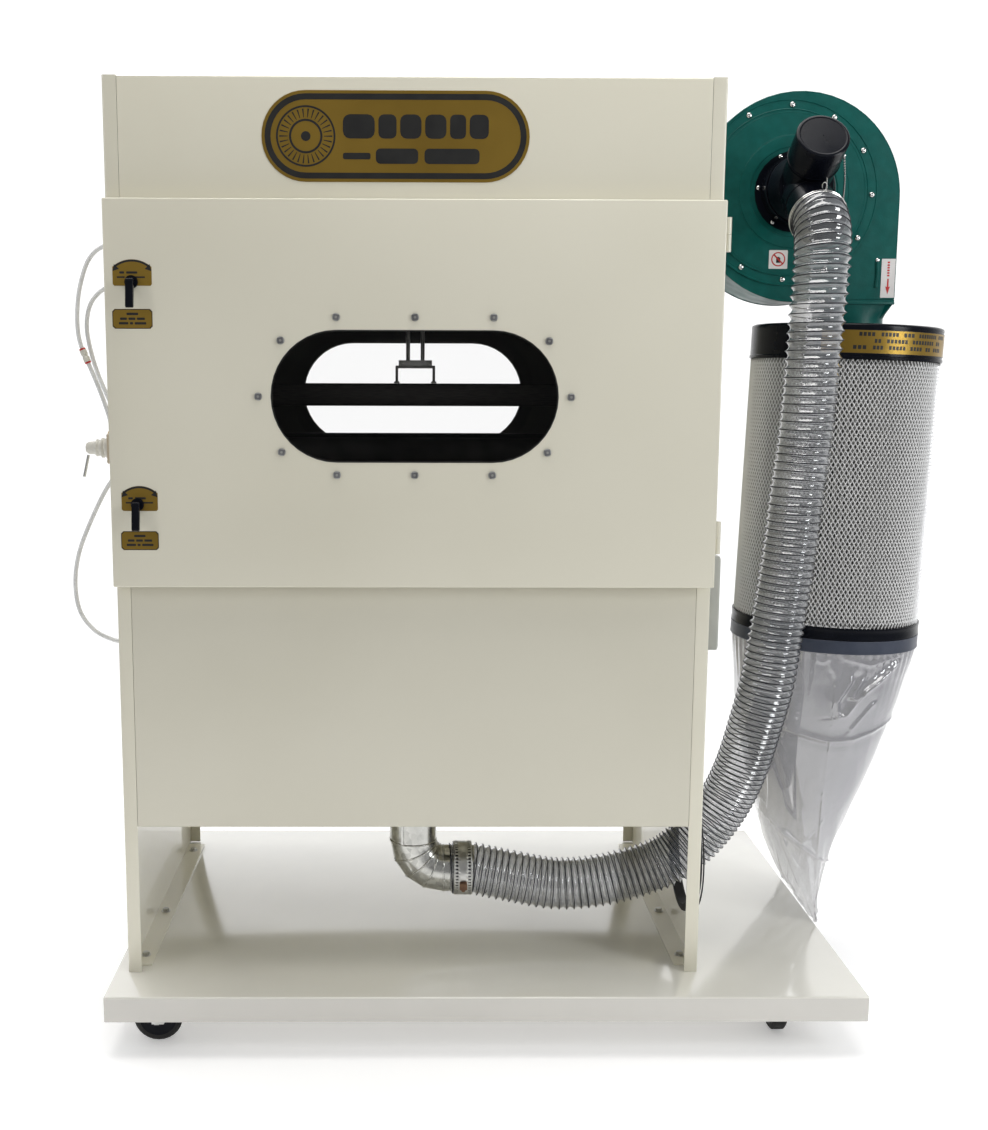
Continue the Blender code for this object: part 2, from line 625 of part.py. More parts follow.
def build_chamber(machine):
    wall = HALF - SHEET - GAP
    carriers = {"left": (-0.470, -0.462, -wall), "right": (0.520, 0.528, wall)}
    for name, (low, high, reach) in carriers.items():
        plate = block((low, 0.200, 1.130), (high, 0.600, 1.250))
        shelf = block((min(low, reach) + 0.0004, 0.205, 1.1295), (max(high, reach) - 0.0004, 0.595, 1.134))
        bores = [bar((low - 0.02, y, ROLLER_Z), (high + 0.02, y, ROLLER_Z), SHAFT_R + 0.0004, 24)
                 for y in ROLLER_Y.values()]
        add(f"roller_plate_{name}", cut(unite(plate, shelf), *bores), "ivory_paint", machine)

    ends = {"front": (-0.485, 0.545), "rear": (-0.500, 0.545)}
    for name, (left, right) in ends.items():
        y = ROLLER_Y[name]
        profile = [(0.001, left), (SHAFT_R, left), (SHAFT_R, -0.440), (ROLLER_R - 0.002, -0.440),
                   (ROLLER_R, -0.438), (ROLLER_R, 0.498), (ROLLER_R - 0.002, 0.500), (SHAFT_R, 0.500),
                   (SHAFT_R, right), (0.001, right)]
        add(f"roller_{name}", ring(profile, (0, y, ROLLER_Z), (1, 0, 0), 20), "rubber", machine,
            (0, y, ROLLER_Z))

    y = ROLLER_Y["rear"]
    gearbox = block((-0.580, y - 0.040, 1.1345), (-0.515, y + 0.040, 1.250))
    shaft = bar((-0.520, y, ROLLER_Z), (-0.500 - GAP, y, ROLLER_Z), 0.008, 16)
    can = bar((-0.5475, y, 1.245), (-0.5475, y, 1.360), 0.033, 24)
    add("roller_gearmotor", unite(gearbox, shaft, can), "motor_black", machine)

    rods = [(x, LIFT_Y) for x in LIFT_ROD_X]
    middle = sum(LIFT_ROD_X) / 2
    body = block((middle - 0.042, LIFT_Y - 0.020, 1.475), (middle + 0.042, LIFT_Y + 0.020, 1.870))
    bores = [bar((x, y, 1.460), (x, y, 1.855), LIFT_ROD_R + 0.0004, 16) for x, y in rods]
    add("lift_cylinder", cut(body, *bores), "aluminium", machine)

    plate = block((middle - 0.040, LIFT_Y - 0.015, 1.377), (middle + 0.040, LIFT_Y + 0.015, 1.390))
    shafts = [bar((x, y, 1.380), (x, y, 1.790), LIFT_ROD_R, 16) for x, y in rods]
    yoke_half = 0.0475
    cross = bar((middle - yoke_half, LIFT_Y, 1.374), (middle + yoke_half, LIFT_Y, 1.374), 0.0035, 10)
    legs = [bar((x, LIFT_Y, BEAM_HIGH + GAP), (x, LIFT_Y, 1.3755), 0.0035, 10)
            for x in (middle - yoke_half + 0.003, middle + yoke_half - 0.003)]
    add("lift_slide", unite(plate, cross, *shafts, *legs), "zinc", machine, (middle, LIFT_Y, 1.390))
    beam = fillet([(LIFT_Y - 0.015, BEAM_LOW, 0.004), (LIFT_Y + 0.015, BEAM_LOW, 0.004),
                   (LIFT_Y + 0.015, BEAM_HIGH, 0.004), (LIFT_Y - 0.015, BEAM_HIGH, 0.004)])
    add("blow_beam", prism(beam, "X", -0.540, 0.540), "aluminium", machine, (middle, LIFT_Y, BEAM_HIGH))


# ---------------------------------------------------------------- air and electric controls

def build_controls(machine):
    wall = HALF + GAP
    body = block((-0.6445, 0.195, 1.167), (-wall, 0.255, 1.230))
    boot = [(0.001, 0.0), (0.024, 0.0), (0.024, 0.006), (0.019, 0.010), (0.021, 0.014), (0.021, 0.018),
            (0.0165, 0.022), (0.018, 0.026), (0.018, 0.029), (0.014, 0.033), (0.0125, 0.046),
            (0.009, 0.050), (0.001, 0.050)]
    cone = ring(boot, (-0.6440, 0.225, 1.199), (-1, 0, 0), 16)
    add("air_valve", unite(body, cone), "tan_plastic", machine)
    pivot = (-0.6905, 0.225, 1.1840)
    lever = bar(pivot, (-0.7010, 0.225, 1.138), 0.0032, 12)
    add("air_valve_lever", lever, "chrome", machine, pivot)
    for name, route in TUBE_ROUTES.items():
        add_tube(name, route, TUBE_R, "milky_tube", machine, 2, 2)

    low, high = (wall, 0.250, 0.757), (0.668, 0.370, 0.965)
    case = tray(low, high, "low", THIN, 0.004, 0)
    buttons = {"start_button": (0.902, 0.0110, "start_green"), "stop_button": (0.842, 0.0130, "stop_red")}
    y = 0.310
    bores = [prism(circle(y, z, radius + 0.0006, 20), "X", 0.655, 0.680) for z, radius, _ in buttons.values()]
    add("control_box", cut(case, *bores), "grey_enamel", machine)
    for name, (z, radius, finish) in buttons.items():
        add(name, bar((0.650, y, z), (0.6735, y, z), radius, 20), finish, machine, (0.668, y, z))


# ---------------------------------------------------------------- blower

def housing_outline(inset, foot):
    """The blower casing seen from the front: most of a circle, with an outlet leaving its right side down."""
    radius = HOUSING_R - inset
    left = OUTLET_LEFT + inset
    meet = 2 * pi - acos((left - HOUSING_X) / radius)
    steps = 40
    outline = [(left, foot), (HOUSING_X + radius, foot)]
    for step in range(steps + 1):
        angle = meet * step / steps
        outline.append((HOUSING_X + radius * cos(angle), HOUSING_Z + radius * sin(angle)))
    return outline


def build_blower(machine):
    front, rear = HOUSING_FRONT, HOUSING_REAR
    case = prism(housing_outline(0, OUTLET_BOTTOM), "Y", front, rear)
    hollow = prism(housing_outline(SHEET, OUTLET_BOTTOM - 0.02), "Y", front + SHEET, rear - SHEET)
    eye = bar((BLOWER_X, front - 0.02, BLOWER_Z), (BLOWER_X, front + 0.02, BLOWER_Z), 0.160, 40)
    shaft_hole = bar((BLOWER_X, rear - 0.02, BLOWER_Z), (BLOWER_X, rear + 0.02, BLOWER_Z), 0.025, 20)
    add("blower_housing", cut(case, hollow, eye, shaft_hole), "green_paint", machine)

    # The cover's rim and its groove for the screws sit a little to the left of the fan's axis.
    face = front - GAP
    rim = [(0.0, 0.0), (0.0, -0.003), (0.170, -0.003), (0.172, -0.0015), (0.189, -0.0015),
           (0.1905, -0.003), (0.193, -0.003), (0.193, 0.0)]
    plate = turned(rim, (COVER_X, face, COVER_Z), (0, 1, 0), 48)
    boss = [(0.092, -0.002), (0.094, -0.0045), (0.116, -0.0045), (0.118, -0.002)]
    hole = bar((BLOWER_X, front - 0.02, BLOWER_Z), (BLOWER_X, front + 0.02, BLOWER_Z), 0.070, 32)
    cover = unite(plate, ring(boss, (BLOWER_X, face, BLOWER_Z), (0, 1, 0), 36))
    add("blower_inlet_cover", cut(cover, hole), "green_paint", machine)

    per_side = 8
    middle = (OUTLET_LEFT + HOUSING_X + HOUSING_R) / 2
    half_x = (HOUSING_X + HOUSING_R - OUTLET_LEFT) / 2
    half_y = (rear - front) / 2
    centre_y = (front + rear) / 2
    spigot_x = CANISTER_TOP[0]
    rings = [rectangle_ring((middle, centre_y), half_x, half_y, z, per_side)
             for z in (OUTLET_BOTTOM - GAP, OUTLET_BOTTOM - 0.006)]
    rings += [[(spigot_x + SPIGOT_R * cos(a), centre_y + SPIGOT_R * sin(a), z)
               for a in corner_angles(per_side)] for z in (1.478, 1.4645)]
    add("outlet_transition", shell(loft(rings), 0.0025), "green_paint", machine)

    hub = bar((BLOWER_X, front + 0.035, BLOWER_Z), (BLOWER_X, rear + 0.020, BLOWER_Z), 0.022, 20)
    disc = bar((BLOWER_X, rear - 0.022, BLOWER_Z), (BLOWER_X, rear - 0.018, BLOWER_Z), 0.140, 40)
    blades = []
    for k in range(8):
        angle = 2 * pi * k / 8
        blade = block((0.015, -0.0015, 0), (0.138, 0.0015, 0.092))
        turn = Matrix.Rotation(pi / 2, 4, "X") @ Matrix.Rotation(angle, 4, "Z")
        blade.transform(Matrix.Translation((BLOWER_X, rear - 0.021, BLOWER_Z)) @ turn)
        blades.append(blade)
    add("impeller", unite(disc, hub, *blades), "aluminium", machine, (BLOWER_X, 0, BLOWER_Z))

    motor_front = rear + GAP
    can = [(0.024, motor_front), (0.070, motor_front), (0.085, motor_front + 0.012),
           (0.085, motor_front + 0.200), (0.076, motor_front + 0.225), (0.030, motor_front + 0.240),
           (0.001, motor_front + 0.240), (0.001, motor_front + 0.030), (0.024, motor_front + 0.030)]
    body = ring(can, (BLOWER_X, 0, BLOWER_Z), (0, 1, 0), 24)
    foot = block((BLOWER_X - 0.060, 0.490, 1.6465), (BLOWER_X + 0.060, 0.650, 1.675))
    terminal = block((BLOWER_X - 0.030, 0.530, 1.815), (BLOWER_X + 0.030, 0.610, 1.848))
    add("blower_motor", unite(body, foot, terminal), "motor_black", machine)

    wall = HALF + GAP
    shelf = block((wall, 0.470, 1.640), (0.890, 0.670, 1.646))
    leg = block((wall, 0.470, 1.490), (wall + 0.006, 0.670, 1.641))
    gusset = prism([(wall + 0.003, 1.495), (0.860, 1.6405), (wall + 0.003, 1.6405)], "Y", 0.566, 0.574)
    add("motor_bracket", unite(shelf, leg, gusset), "green_paint", machine)


def build_wye(machine):
    fork = Vector(WYE_FORK)
    up = Vector((0, -cos(WYE_ANGLE), sin(WYE_ANGLE)))
    down = Vector((0, -cos(WYE_ANGLE), -sin(WYE_ANGLE)))
    mouth = HOUSING_FRONT - GAP - 0.0045 - GAP
    back = Vector((BLOWER_X, mouth, BLOWER_Z))
    inner = DUCT_R - 0.0025

    throat = fork + Vector((0, -0.030, 0))
    waist = fork + Vector((0, 0.012, 0))
    trunk, wall = 0.072, 0.004
    flange = bar(back, back + Vector((0, -0.006, 0)), 0.084, 28)
    outside = [bar(back, waist, trunk, 28),
               bar(waist + Vector((0, 0.0001, 0)), throat, trunk, 28, DUCT_R + 0.006),
               bar(fork - up * 0.01, fork + up * UPPER_BRANCH, DUCT_R, 24),
               bar(fork - down * 0.01, fork + down * LOWER_BRANCH, DUCT_R, 24)]
    past = 0.020
    inside = [bar(back + Vector((0, past, 0)), waist - Vector((0, 0.002, 0)), trunk - wall, 28),
              bar(waist - Vector((0, 0.0019, 0)), throat, trunk - wall, 28, inner),
              bar(fork + up * 0.01, fork + up * (UPPER_BRANCH + past), inner, 24),
              bar(fork + down * 0.01, fork + down * (LOWER_BRANCH + past), inner, 24)]
    add("inlet_wye", cut(unite(flange, *outside), *inside), "black_plastic", machine)

    reach = UPPER_BRANCH + GAP
    outer = DUCT_R + 0.0028
    profile = [(DUCT_R + 0.0004, reach - CAP_LENGTH), (outer, reach - CAP_LENGTH), (outer, reach + 0.002),
               (outer - 0.002, reach + 0.0035), (0.001, reach + 0.0035), (0.001, reach),
               (DUCT_R + 0.0004, reach)]
    add("wye_cap", ring(profile, fork, up, 28), "black_plastic", machine, fork + up * reach)


def build_ducts(machine):
    bend_r = 0.065
    y, mouth_z = HOSE_HOLE[0], 0.363
    centres = [((0, y, 0.4548), 0), ((0, y, mouth_z), 0)]
    gores = 4
    for k in range(1, gores + 1):
        angle = k * pi / 2 / gores
        centres.append(((bend_r - bend_r * cos(angle), y, mouth_z - bend_r * sin(angle)), angle))
    centres.append(((0.078, y, mouth_z - bend_r), pi / 2))
    rings = []
    for (x, ring_y, z), angle in centres:
        across = Vector((cos(angle), 0, sin(angle)))
        rings.append([Vector((x, ring_y, z)) + across * DUCT_R * cos(t) + Vector((0, DUCT_R * sin(t), 0))
                      for t in (2 * pi * k / 24 for k in range(24))])
    add("duct_elbow", shell(loft(rings), 0.0015), "galvanised", machine)
    add_tube("dust_hose", HOSE_ROUTE, HOSE_R, "clear_hose", machine, 4, 1)


# ---------------------------------------------------------------- canister filter and bag

def build_canister(machine):
    axis = empty("canister_axis", CANISTER_TOP, (0, CANISTER_LEAN, 0), machine)
    lid_low, filter_low, ring_low, band_low = -0.072, -0.6415, -0.668, -0.696
    lid = [(SPIGOT_R - 0.005, 0), (CANISTER_R - 0.004, 0), (CANISTER_R, -0.004), (CANISTER_R, lid_low),
           (CANISTER_R - 0.0025, lid_low), (CANISTER_R - 0.0025, -0.005), (CANISTER_R - 0.005, -0.0025),
           (SPIGOT_R - 0.005, -0.0025)]
    add("canister_lid", ring(lid, (0, 0, 0), (0, 0, 1), 40), "black_plastic", axis)
    pleats = [(0.165, lid_low - GAP), (0.199, lid_low - GAP), (0.199, filter_low), (0.165, filter_low)]
    add("filter_cartridge", ring(pleats, (0, 0, 0), (0, 0, 1), 40), "filter_media", axis)
    skirt = 0.1965
    collar = [(0.190, filter_low - GAP), (CANISTER_R, filter_low - GAP), (CANISTER_R, ring_low),
              (skirt, ring_low), (skirt, band_low + 0.006), (0.190, band_low + 0.006)]
    add("canister_collar", ring(collar, (0, 0, 0), (0, 0, 1), 40), "black_plastic", axis)
    band = [(skirt + 0.001, ring_low - GAP), (0.2045, ring_low - GAP), (0.2045, band_low),
            (skirt + 0.001, band_low)]
    add("bag_clamp", ring(band, (0, 0, 0), (0, 0, 1), 40), "band_grey", axis)

    # The bag hangs from the band and flattens to a seam that runs from front to back at its foot.
    drop = abs(band_low) + GAP
    mouth_x = CANISTER_TOP[0] - sin(CANISTER_LEAN) * drop
    mouth_z = CANISTER_TOP[2] - cos(CANISTER_LEAN) * drop
    sides = 24
    mouth = [(mouth_x + 0.2 * cos(CANISTER_LEAN) * cos(a), CANISTER_TOP[1] + 0.2 * sin(a),
              mouth_z - 0.2 * sin(CANISTER_LEAN) * cos(a))
             for a in (2 * pi * k / sides for k in range(sides))]
    slices = [(0.660, 0.741, 1.117, 0.198), (0.560, 0.752, 1.083, 0.190), (0.460, 0.774, 1.045, 0.178),
              (0.360, 0.800, 0.999, 0.165), (0.260, 0.834, 0.957, 0.152), (0.190, 0.866, 0.936, 0.142),
              (DECK + 0.004, 0.903, 0.919, 0.133)]
    rings = [mouth]
    for z, left, right, half_y in slices:
        middle, half_x = (left + right) / 2, (right - left) / 2
        rings.append([(middle + half_x * cos(a), CANISTER_TOP[1] + half_y * sin(a), z)
                      for a in (2 * pi * k / sides for k in range(sides))])
    add("dust_bag", shell(loft(rings, floor=True), 0.0015), "clear_film", machine)


def main():
    clear_scene()
    machine = empty("machine", (-CENTRE_X, -CENTRE_Y, 0))
    build_platform(machine)
    for name, (x, y, heading) in CASTERS.items():
        build_caster(name, x, y, heading, machine)
    build_cabinet(machine)
    build_door(machine)
    build_chamber(machine)
    build_controls(machine)
    build_blower(machine)
    build_wye(machine)
    build_ducts(machine)
    build_canister(machine)


main()
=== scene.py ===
"""Looks of the cartridge-filter cleaning cabinet and its dust collector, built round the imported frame.

Shapes are made in the machine's own frame, in metres: X = 0 is the cabinet's centre line, Y = 0 its
front sheet and Z = 0 the floor. add() moves them into the row's frame, where the CAD nodes are.
"""
import json
from bisect import bisect_right
from math import atan2, cos, exp, pi, radians, sin, sqrt, tau

import bmesh
import bpy
from mathutils import Matrix, Vector, noise


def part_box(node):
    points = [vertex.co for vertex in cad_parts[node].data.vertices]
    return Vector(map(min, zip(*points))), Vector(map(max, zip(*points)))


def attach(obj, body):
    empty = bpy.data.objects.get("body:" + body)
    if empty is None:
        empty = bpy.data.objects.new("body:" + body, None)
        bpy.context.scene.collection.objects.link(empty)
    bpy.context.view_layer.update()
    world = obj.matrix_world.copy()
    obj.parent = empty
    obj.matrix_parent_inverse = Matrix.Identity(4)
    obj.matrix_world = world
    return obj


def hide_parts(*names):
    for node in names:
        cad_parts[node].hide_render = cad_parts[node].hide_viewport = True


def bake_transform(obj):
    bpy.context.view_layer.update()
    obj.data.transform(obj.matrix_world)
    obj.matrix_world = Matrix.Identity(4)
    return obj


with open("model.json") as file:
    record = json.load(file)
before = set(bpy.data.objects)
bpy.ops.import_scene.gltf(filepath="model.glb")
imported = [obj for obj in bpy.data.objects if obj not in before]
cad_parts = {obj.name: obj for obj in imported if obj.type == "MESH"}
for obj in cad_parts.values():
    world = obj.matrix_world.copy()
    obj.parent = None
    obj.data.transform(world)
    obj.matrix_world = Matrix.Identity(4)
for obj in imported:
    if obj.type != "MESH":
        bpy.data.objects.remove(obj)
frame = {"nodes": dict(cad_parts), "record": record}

for leftover in ("Cube", "Light", "Camera"):
    if leftover in bpy.data.objects:
        bpy.data.objects.remove(bpy.data.objects[leftover])
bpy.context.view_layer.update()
NODES = frame["nodes"]
SLOTS = {part["material_slot"] for part in frame["record"]["subparts"]}

X, Y, Z = Vector((1, 0, 0)), Vector((0, 1, 0)), Vector((0, 0, 1))
ORIGIN = Vector(((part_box("side_panel_left")[0].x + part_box("side_panel_right")[1].x) / 2,
                 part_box("header_panel")[0].y, 0))


def low(node):
    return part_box(node)[0] - ORIGIN


def high(node):
    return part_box(node)[1] - ORIGIN


def middle(node):
    return (low(node) + high(node)) / 2


def linked(name, data):
    """A new object in the scene."""
    made = bpy.data.objects.new(name, data)
    bpy.context.scene.collection.objects.link(made)
    return made


def mm(*points):
    """Points given in millimetres, as tuples in metres."""
    return [tuple(value / 1000 for value in point) for point in points]


# Places that several pieces share, in the machine's frame
HALF = high("side_panel_right").x
DECK = high("platform").z
DOOR_FACE = low("door").y
PANE = middle("door_window_pane")
WINDOW_R, WINDOW_HALF, STUD_OFFSET = 0.125, 0.150, 0.025
COVER_FACE = high("blower_inlet_cover").y - 0.003
FAN = middle("impeller")
SCROLL = (0.793, 1.739)
HOUSING_LOW, HOUSING_HIGH = low("blower_housing"), high("blower_housing")
BRANCH_TILT = radians(32)
BRANCH_UP = Vector((0, -cos(BRANCH_TILT), sin(BRANCH_TILT)))
BRANCH_DOWN = Vector((0, -cos(BRANCH_TILT), -sin(BRANCH_TILT)))
WYE_FORK = Vector((FAN.x, 0.240, FAN.z))
DUCT_R = 0.050
CANISTER_LEAN = radians(1.8)
LID_HEIGHT, CANISTER_R = 0.072, 0.203
CANISTER = Matrix.Translation(middle("canister_lid")) @ Matrix.Rotation(CANISTER_LEAN, 4, "Y") \
    @ Matrix.Translation((0, 0, LID_HEIGHT / 2))

HOSE_R = 0.055
HOSE_ROUTE = mm((78.5, 150, 298), (120, 150, 297.8), (200, 148, 282), (310, 145, 264), (420, 143, 275),
                (532, 141, 311), (588, 140, 350), (629, 137, 395), (667, 131, 457), (696, 120, 535),
                (716.7, 105, 629), (733, 90, 719), (744, 84, 812), (756, 80, 913), (765.5, 75, 1015),
                (772, 70, 1113), (782.6, 70, 1213), (788, 66, 1309), (794, 62, 1454), (798, 61, 1540),
                (802, 70, 1605), (805.5, 95.2, 1650.5), (806, 129, 1671.6))
TUBE_R = 0.0045
TUBE_ROUTES = {
    "air_tube_upper": mm((-589.4, 200, 1622), (-615, 203, 1621), (-639, 208, 1615), (-660, 213, 1604),
                         (-678, 218, 1583), (-691, 220, 1550), (-699, 220, 1516), (-703, 220, 1480),
                         (-703, 220, 1445), (-698, 220, 1415), (-686, 220, 1383), (-672, 220, 1348),
                         (-656, 220, 1305), (-642, 219, 1260), (-639, 218, 1231.8)),
    "air_tube_middle": mm((-589.4, 235, 1541), (-615, 235, 1540), (-638, 235, 1535), (-659, 236, 1523),
                          (-676, 237, 1504), (-686, 239, 1478), (-689, 241, 1445), (-683, 243, 1403),
                          (-670, 245, 1355), (-650, 245, 1305), (-629, 243, 1260), (-624, 241, 1231.8)),
    "air_tube_lower": mm((-629, 225, 1165.5), (-633, 225, 1145), (-660, 225, 1103), (-692, 225, 1039),
                         (-718, 225, 973), (-728, 225, 908), (-720, 225, 848), (-692, 225, 807),
                         (-655, 225, 786), (-620, 225, 779), (-589.4, 225, 777)),
}


# ---------------------------------------------------------------- camera

def make_camera():
    data = bpy.data.cameras.new("view")
    data.sensor_width = 36
    data.lens = 41.08
    data.shift_x = 0.0681
    camera = linked("view", data)
    yaw, pitch, roll = 0.0081, 0.1426, 0.0027
    turn = Matrix.Rotation(-yaw, 4, "Z") @ Matrix.Rotation(pi / 2 - pitch, 4, "X") \
        @ Matrix.Rotation(roll, 4, "Z")
    camera.matrix_world = Matrix.Translation((-0.2438, -2.8919, 1.3434)) @ turn
    bpy.context.scene.camera = camera


# ---------------------------------------------------------------- materials

class Look:
    """A material in the making: its Principled shader and the nodes that feed it."""

    def __init__(self, name, colour, roughness, metallic=0.0, **sockets):
        self.name, self.colour = name, colour
        self.material = bpy.data.materials.new(name)
        self.material.use_nodes = True
        self.tree = self.material.node_tree
        self.shader = self.tree.nodes["Principled BSDF"]
        self.place = self.node("TexCoord", "Object")
        self.surface(Base_Color=colour, Roughness=roughness, Metallic=metallic, **sockets)

    def plug(self, socket, value):
        """Give a socket another node's output, a colour or a plain value."""
        if isinstance(value, bpy.types.NodeSocket):
            self.tree.links.new(value, socket)
        elif value is not None:
            socket.default_value = (*value, 1) if socket.type == "RGBA" else value

    def surface(self, **values):
        for name, value in values.items():
            self.plug(self.shader.inputs[name.replace("_", " ")], value)

    def node(self, kind, output, settings=(), **values):
        """A new node's output, with the node's sockets named by words joined with underscores."""
        made = self.tree.nodes.new("ShaderNode" + kind)
        for setting, value in settings:
            setattr(made, setting, value)
        for name, value in values.items():
            self.plug(made.inputs[name.replace("_", " ")], value)
        return made.outputs[output]

    def noise(self, scale, detail=3.0, stretch=(1, 1, 1)):
        where = self.node("Mapping", "Vector", Scale=stretch, Vector=self.place)
        return self.node("TexNoise", "Fac", Scale=scale, Detail=detail, Vector=where)

    def cells(self, scale, output="Distance", feature="F1"):
        return self.node("TexVoronoi", output, [("feature", feature)], Scale=scale, Vector=self.place)

    def span(self, value, from_low, from_high, to_low, to_high):
        return self.node("MapRange", "Result", Value=value, From_Min=from_low, From_Max=from_high,
                         To_Min=to_low, To_Max=to_high)

    def maths(self, operation, *values):
        made = self.tree.nodes.new("ShaderNodeMath")
        made.operation = operation
        for socket, value in zip(made.inputs, values):
            self.plug(socket, value)
        return made.outputs["Value"]

    def blended(self, share, first, second):
        made = self.tree.nodes.new("ShaderNodeMix")
        made.data_type = "RGBA"
        for socket, value in (("Factor", share), (6, first), (7, second)):
            self.plug(made.inputs[socket], value)
        return made.outputs[2]

    def height(self):
        return self.node("SeparateXYZ", "Z", Vector=self.place)

    def within(self, lowest, highest):
        """One inside a box of the row's frame, and nought outside it."""
        inside = 1.0
        for axis, start, end in zip("XYZ", lowest, highest):
            value = self.node("SeparateXYZ", axis, Vector=self.place)
            inside = self.maths("MULTIPLY", inside, self.maths("GREATER_THAN", value, start))
            inside = self.maths("MULTIPLY", inside, self.maths("LESS_THAN", value, end))
        return inside

    def bump(self, *layers):
        """Heights with their strengths and distances, laid over each other."""
        normal = None
        for height, strength, distance in layers:
            normal = self.node("Bump", "Normal", Strength=strength, Distance=distance, Height=height,
                               Normal=normal)
        self.surface(Normal=normal)

    def mottled(self, other, scale, detail=3.0, share=(0.35, 0.65), stretch=(1, 1, 1)):
        """The base colour drifting towards another one."""
        drift = self.span(self.noise(scale, detail, stretch), *share, 0, 1)
        colour = self.blended(drift, self.colour, other)
        self.surface(Base_Color=colour)
        return colour

    def worn(self, scale, smooth, rough, stretch=(1, 1, 1)):
        self.surface(Roughness=self.span(self.noise(scale, 4, stretch), 0.3, 0.7, smooth, rough))

    def see_through(self, facing, edge, blend=0.5, fade=None):
        """Alpha that runs from facing to edge as the surface turns away, thinner below a given height."""
        alpha = self.span(self.node("LayerWeight", "Facing", Blend=blend), 0, 1, facing, edge)
        if fade:
            bottom, top, share = fade
            alpha = self.maths("MULTIPLY", alpha, self.span(self.height(), bottom, top, share, 1))
        self.surface(Alpha=alpha)


def ivory_paint(name="ivory_paint", painted_shade_factor=1.0):
    """Glossy powder coat with an orange-peel skin, painted near black for shade on the chamber's inside
    walls, which are also rougher.
    """
    # Painted shade: a factor below one darkens the whole coat, making a shaded copy of this paint.
    coat, patches = ([painted_shade_factor * part for part in colour] for colour in ((0.795, 0.765, 0.640),
                                                                     (0.755, 0.725, 0.598)))
    look = Look(name, coat, 0.34, Coat_Weight=0.7, Coat_Roughness=0.04)
    paint = look.mottled(patches, 1.7, 2)
    sheet = 0.0015
    inside = look.within(ORIGIN + Vector((sheet - HALF, sheet, high("hopper").z)),
                         ORIGIN + Vector((HALF - sheet, high("back_panel").y - sheet / 2,
                                          high("top_panel").z - sheet)))
    # Painted shade: inside the chamber the paint is a near-black mottle that stands in for the closed
    # chamber's shade.
    painted_chamber_shade = look.blended(look.noise(9, 5), (0.045, 0.042, 0.038), (0.085, 0.080, 0.072))
    skin = look.span(look.noise(60, 4), 0.3, 0.7, 0.29, 0.37)
    look.surface(Base_Color=look.blended(inside, paint, painted_chamber_shade),
                 Roughness=look.maths("ADD", skin, look.maths("MULTIPLY", inside, 0.5)))
    look.bump((look.noise(240, 1), 0.05, 0.0006), (look.noise(6, 2), 0.04, 0.004))
    return look


def deck_paint():
    """The platform's glossier coat, scuffed on top, and painted darker for shade on its folded edges below
    the deck's top.
    """
    look = Look("deck_paint", (0.80, 0.785, 0.715), 0.20, Coat_Weight=1.0, Coat_Roughness=0.11,
                Coat_IOR=2.1, IOR=1.6)
    paint = look.mottled((0.755, 0.74, 0.665), 3.5, 4)
    # Painted shade: every face below the deck's top gets a darker colour.
    edge = look.maths("LESS_THAN", look.height(), DECK - 0.003)
    painted_side_shade = look.blended(look.noise(5, 4), (0.50, 0.480, 0.435), (0.60, 0.580, 0.530))
    look.surface(Base_Color=look.blended(edge, paint, painted_side_shade))
    look.worn(11, 0.15, 0.25)
    look.bump((look.noise(240, 1), 0.04, 0.0006), (look.noise(4, 2), 0.06, 0.006))
    return look


def green_paint():
    look = Look("green_paint", (0.003, 0.088, 0.077), 0.34, Specular_IOR_Level=0.22)
    look.mottled((0.005, 0.106, 0.092), 45, 3)
    look.worn(25, 0.28, 0.42)
    look.bump((look.cells(320, feature="SMOOTH_F1"), 0.16, 0.0008), (look.noise(90, 3), 0.10, 0.0010))
    return look


def metal(name, colour, other, smooth, rough, stretch=(1, 1, 1), scale=40, grain=0.05, share=1.0):
    look = Look(name, colour, smooth, share)
    look.mottled(other, scale, 4, stretch=stretch)
    look.worn(scale * 1.5, smooth, rough, stretch)
    look.bump((look.noise(scale * 8, 3, stretch), grain, 0.0004))
    return look


def galvanised():
    """Zinc with its spangle: crystals a centimetre wide that each catch the light differently."""
    look = Look("galvanised", (0.55, 0.55, 0.53), 0.30, 1.0)
    shade = look.node("RGBToBW", "Val", Color=look.cells(95, "Color"))
    look.surface(Base_Color=look.blended(shade, (0.40, 0.40, 0.38), (0.66, 0.66, 0.63)),
                 Roughness=look.span(shade, 0, 1, 0.15, 0.25))
    look.bump((shade, 0.04, 0.0006), (look.noise(30, 2), 0.07, 0.0020))
    return look


def plastic(name, colour, other, smooth, rough, grain=0.08, **sockets):
    look = Look(name, colour, smooth, **sockets)
    look.mottled(other, 22, 4)
    look.worn(30, smooth, rough)
    look.bump((look.noise(900, 2), grain, 0.0003), (look.noise(28, 3), 0.05, 0.0010))
    return look


def pane(name, colour, opacity):
    look = Look(name, colour, 0.03, IOR=1.49)
    look.see_through(opacity, min(1.0, opacity + 0.55), 0.35)
    look.worn(12, 0.02, 0.07)
    look.bump((look.noise(3, 2), 0.04, 0.002))
    return look


def clear_hose():
    """Clear vinyl that has gone a little grey, with a shine along its crests."""
    look = Look("clear_hose", (0.30, 0.32, 0.35), 0.05, IOR=2.2, Coat_Weight=1.0, Coat_Roughness=0.03,
                Coat_IOR=2.4)
    look.mottled((0.22, 0.235, 0.255), 14, 4)
    look.worn(40, 0.04, 0.10)
    look.see_through(0.40, 0.85, 0.42)
    look.bump((look.noise(38, 2), 0.20, 0.0030))
    return look


def clear_film():
    look = Look("clear_film", (0.165, 0.165, 0.200), 0.06, IOR=2.0, Coat_Weight=1.0, Coat_Roughness=0.03,
                Coat_IOR=2.2)
    look.mottled((0.125, 0.125, 0.160), 4, 3)
    look.worn(9, 0.04, 0.12)
    look.see_through(0.62, 0.92, 0.35, fade=(0.14, 0.42, 0.45))
    look.bump((look.noise(10, 3, (1, 1, 0.35)), 0.20, 0.006))
    return look


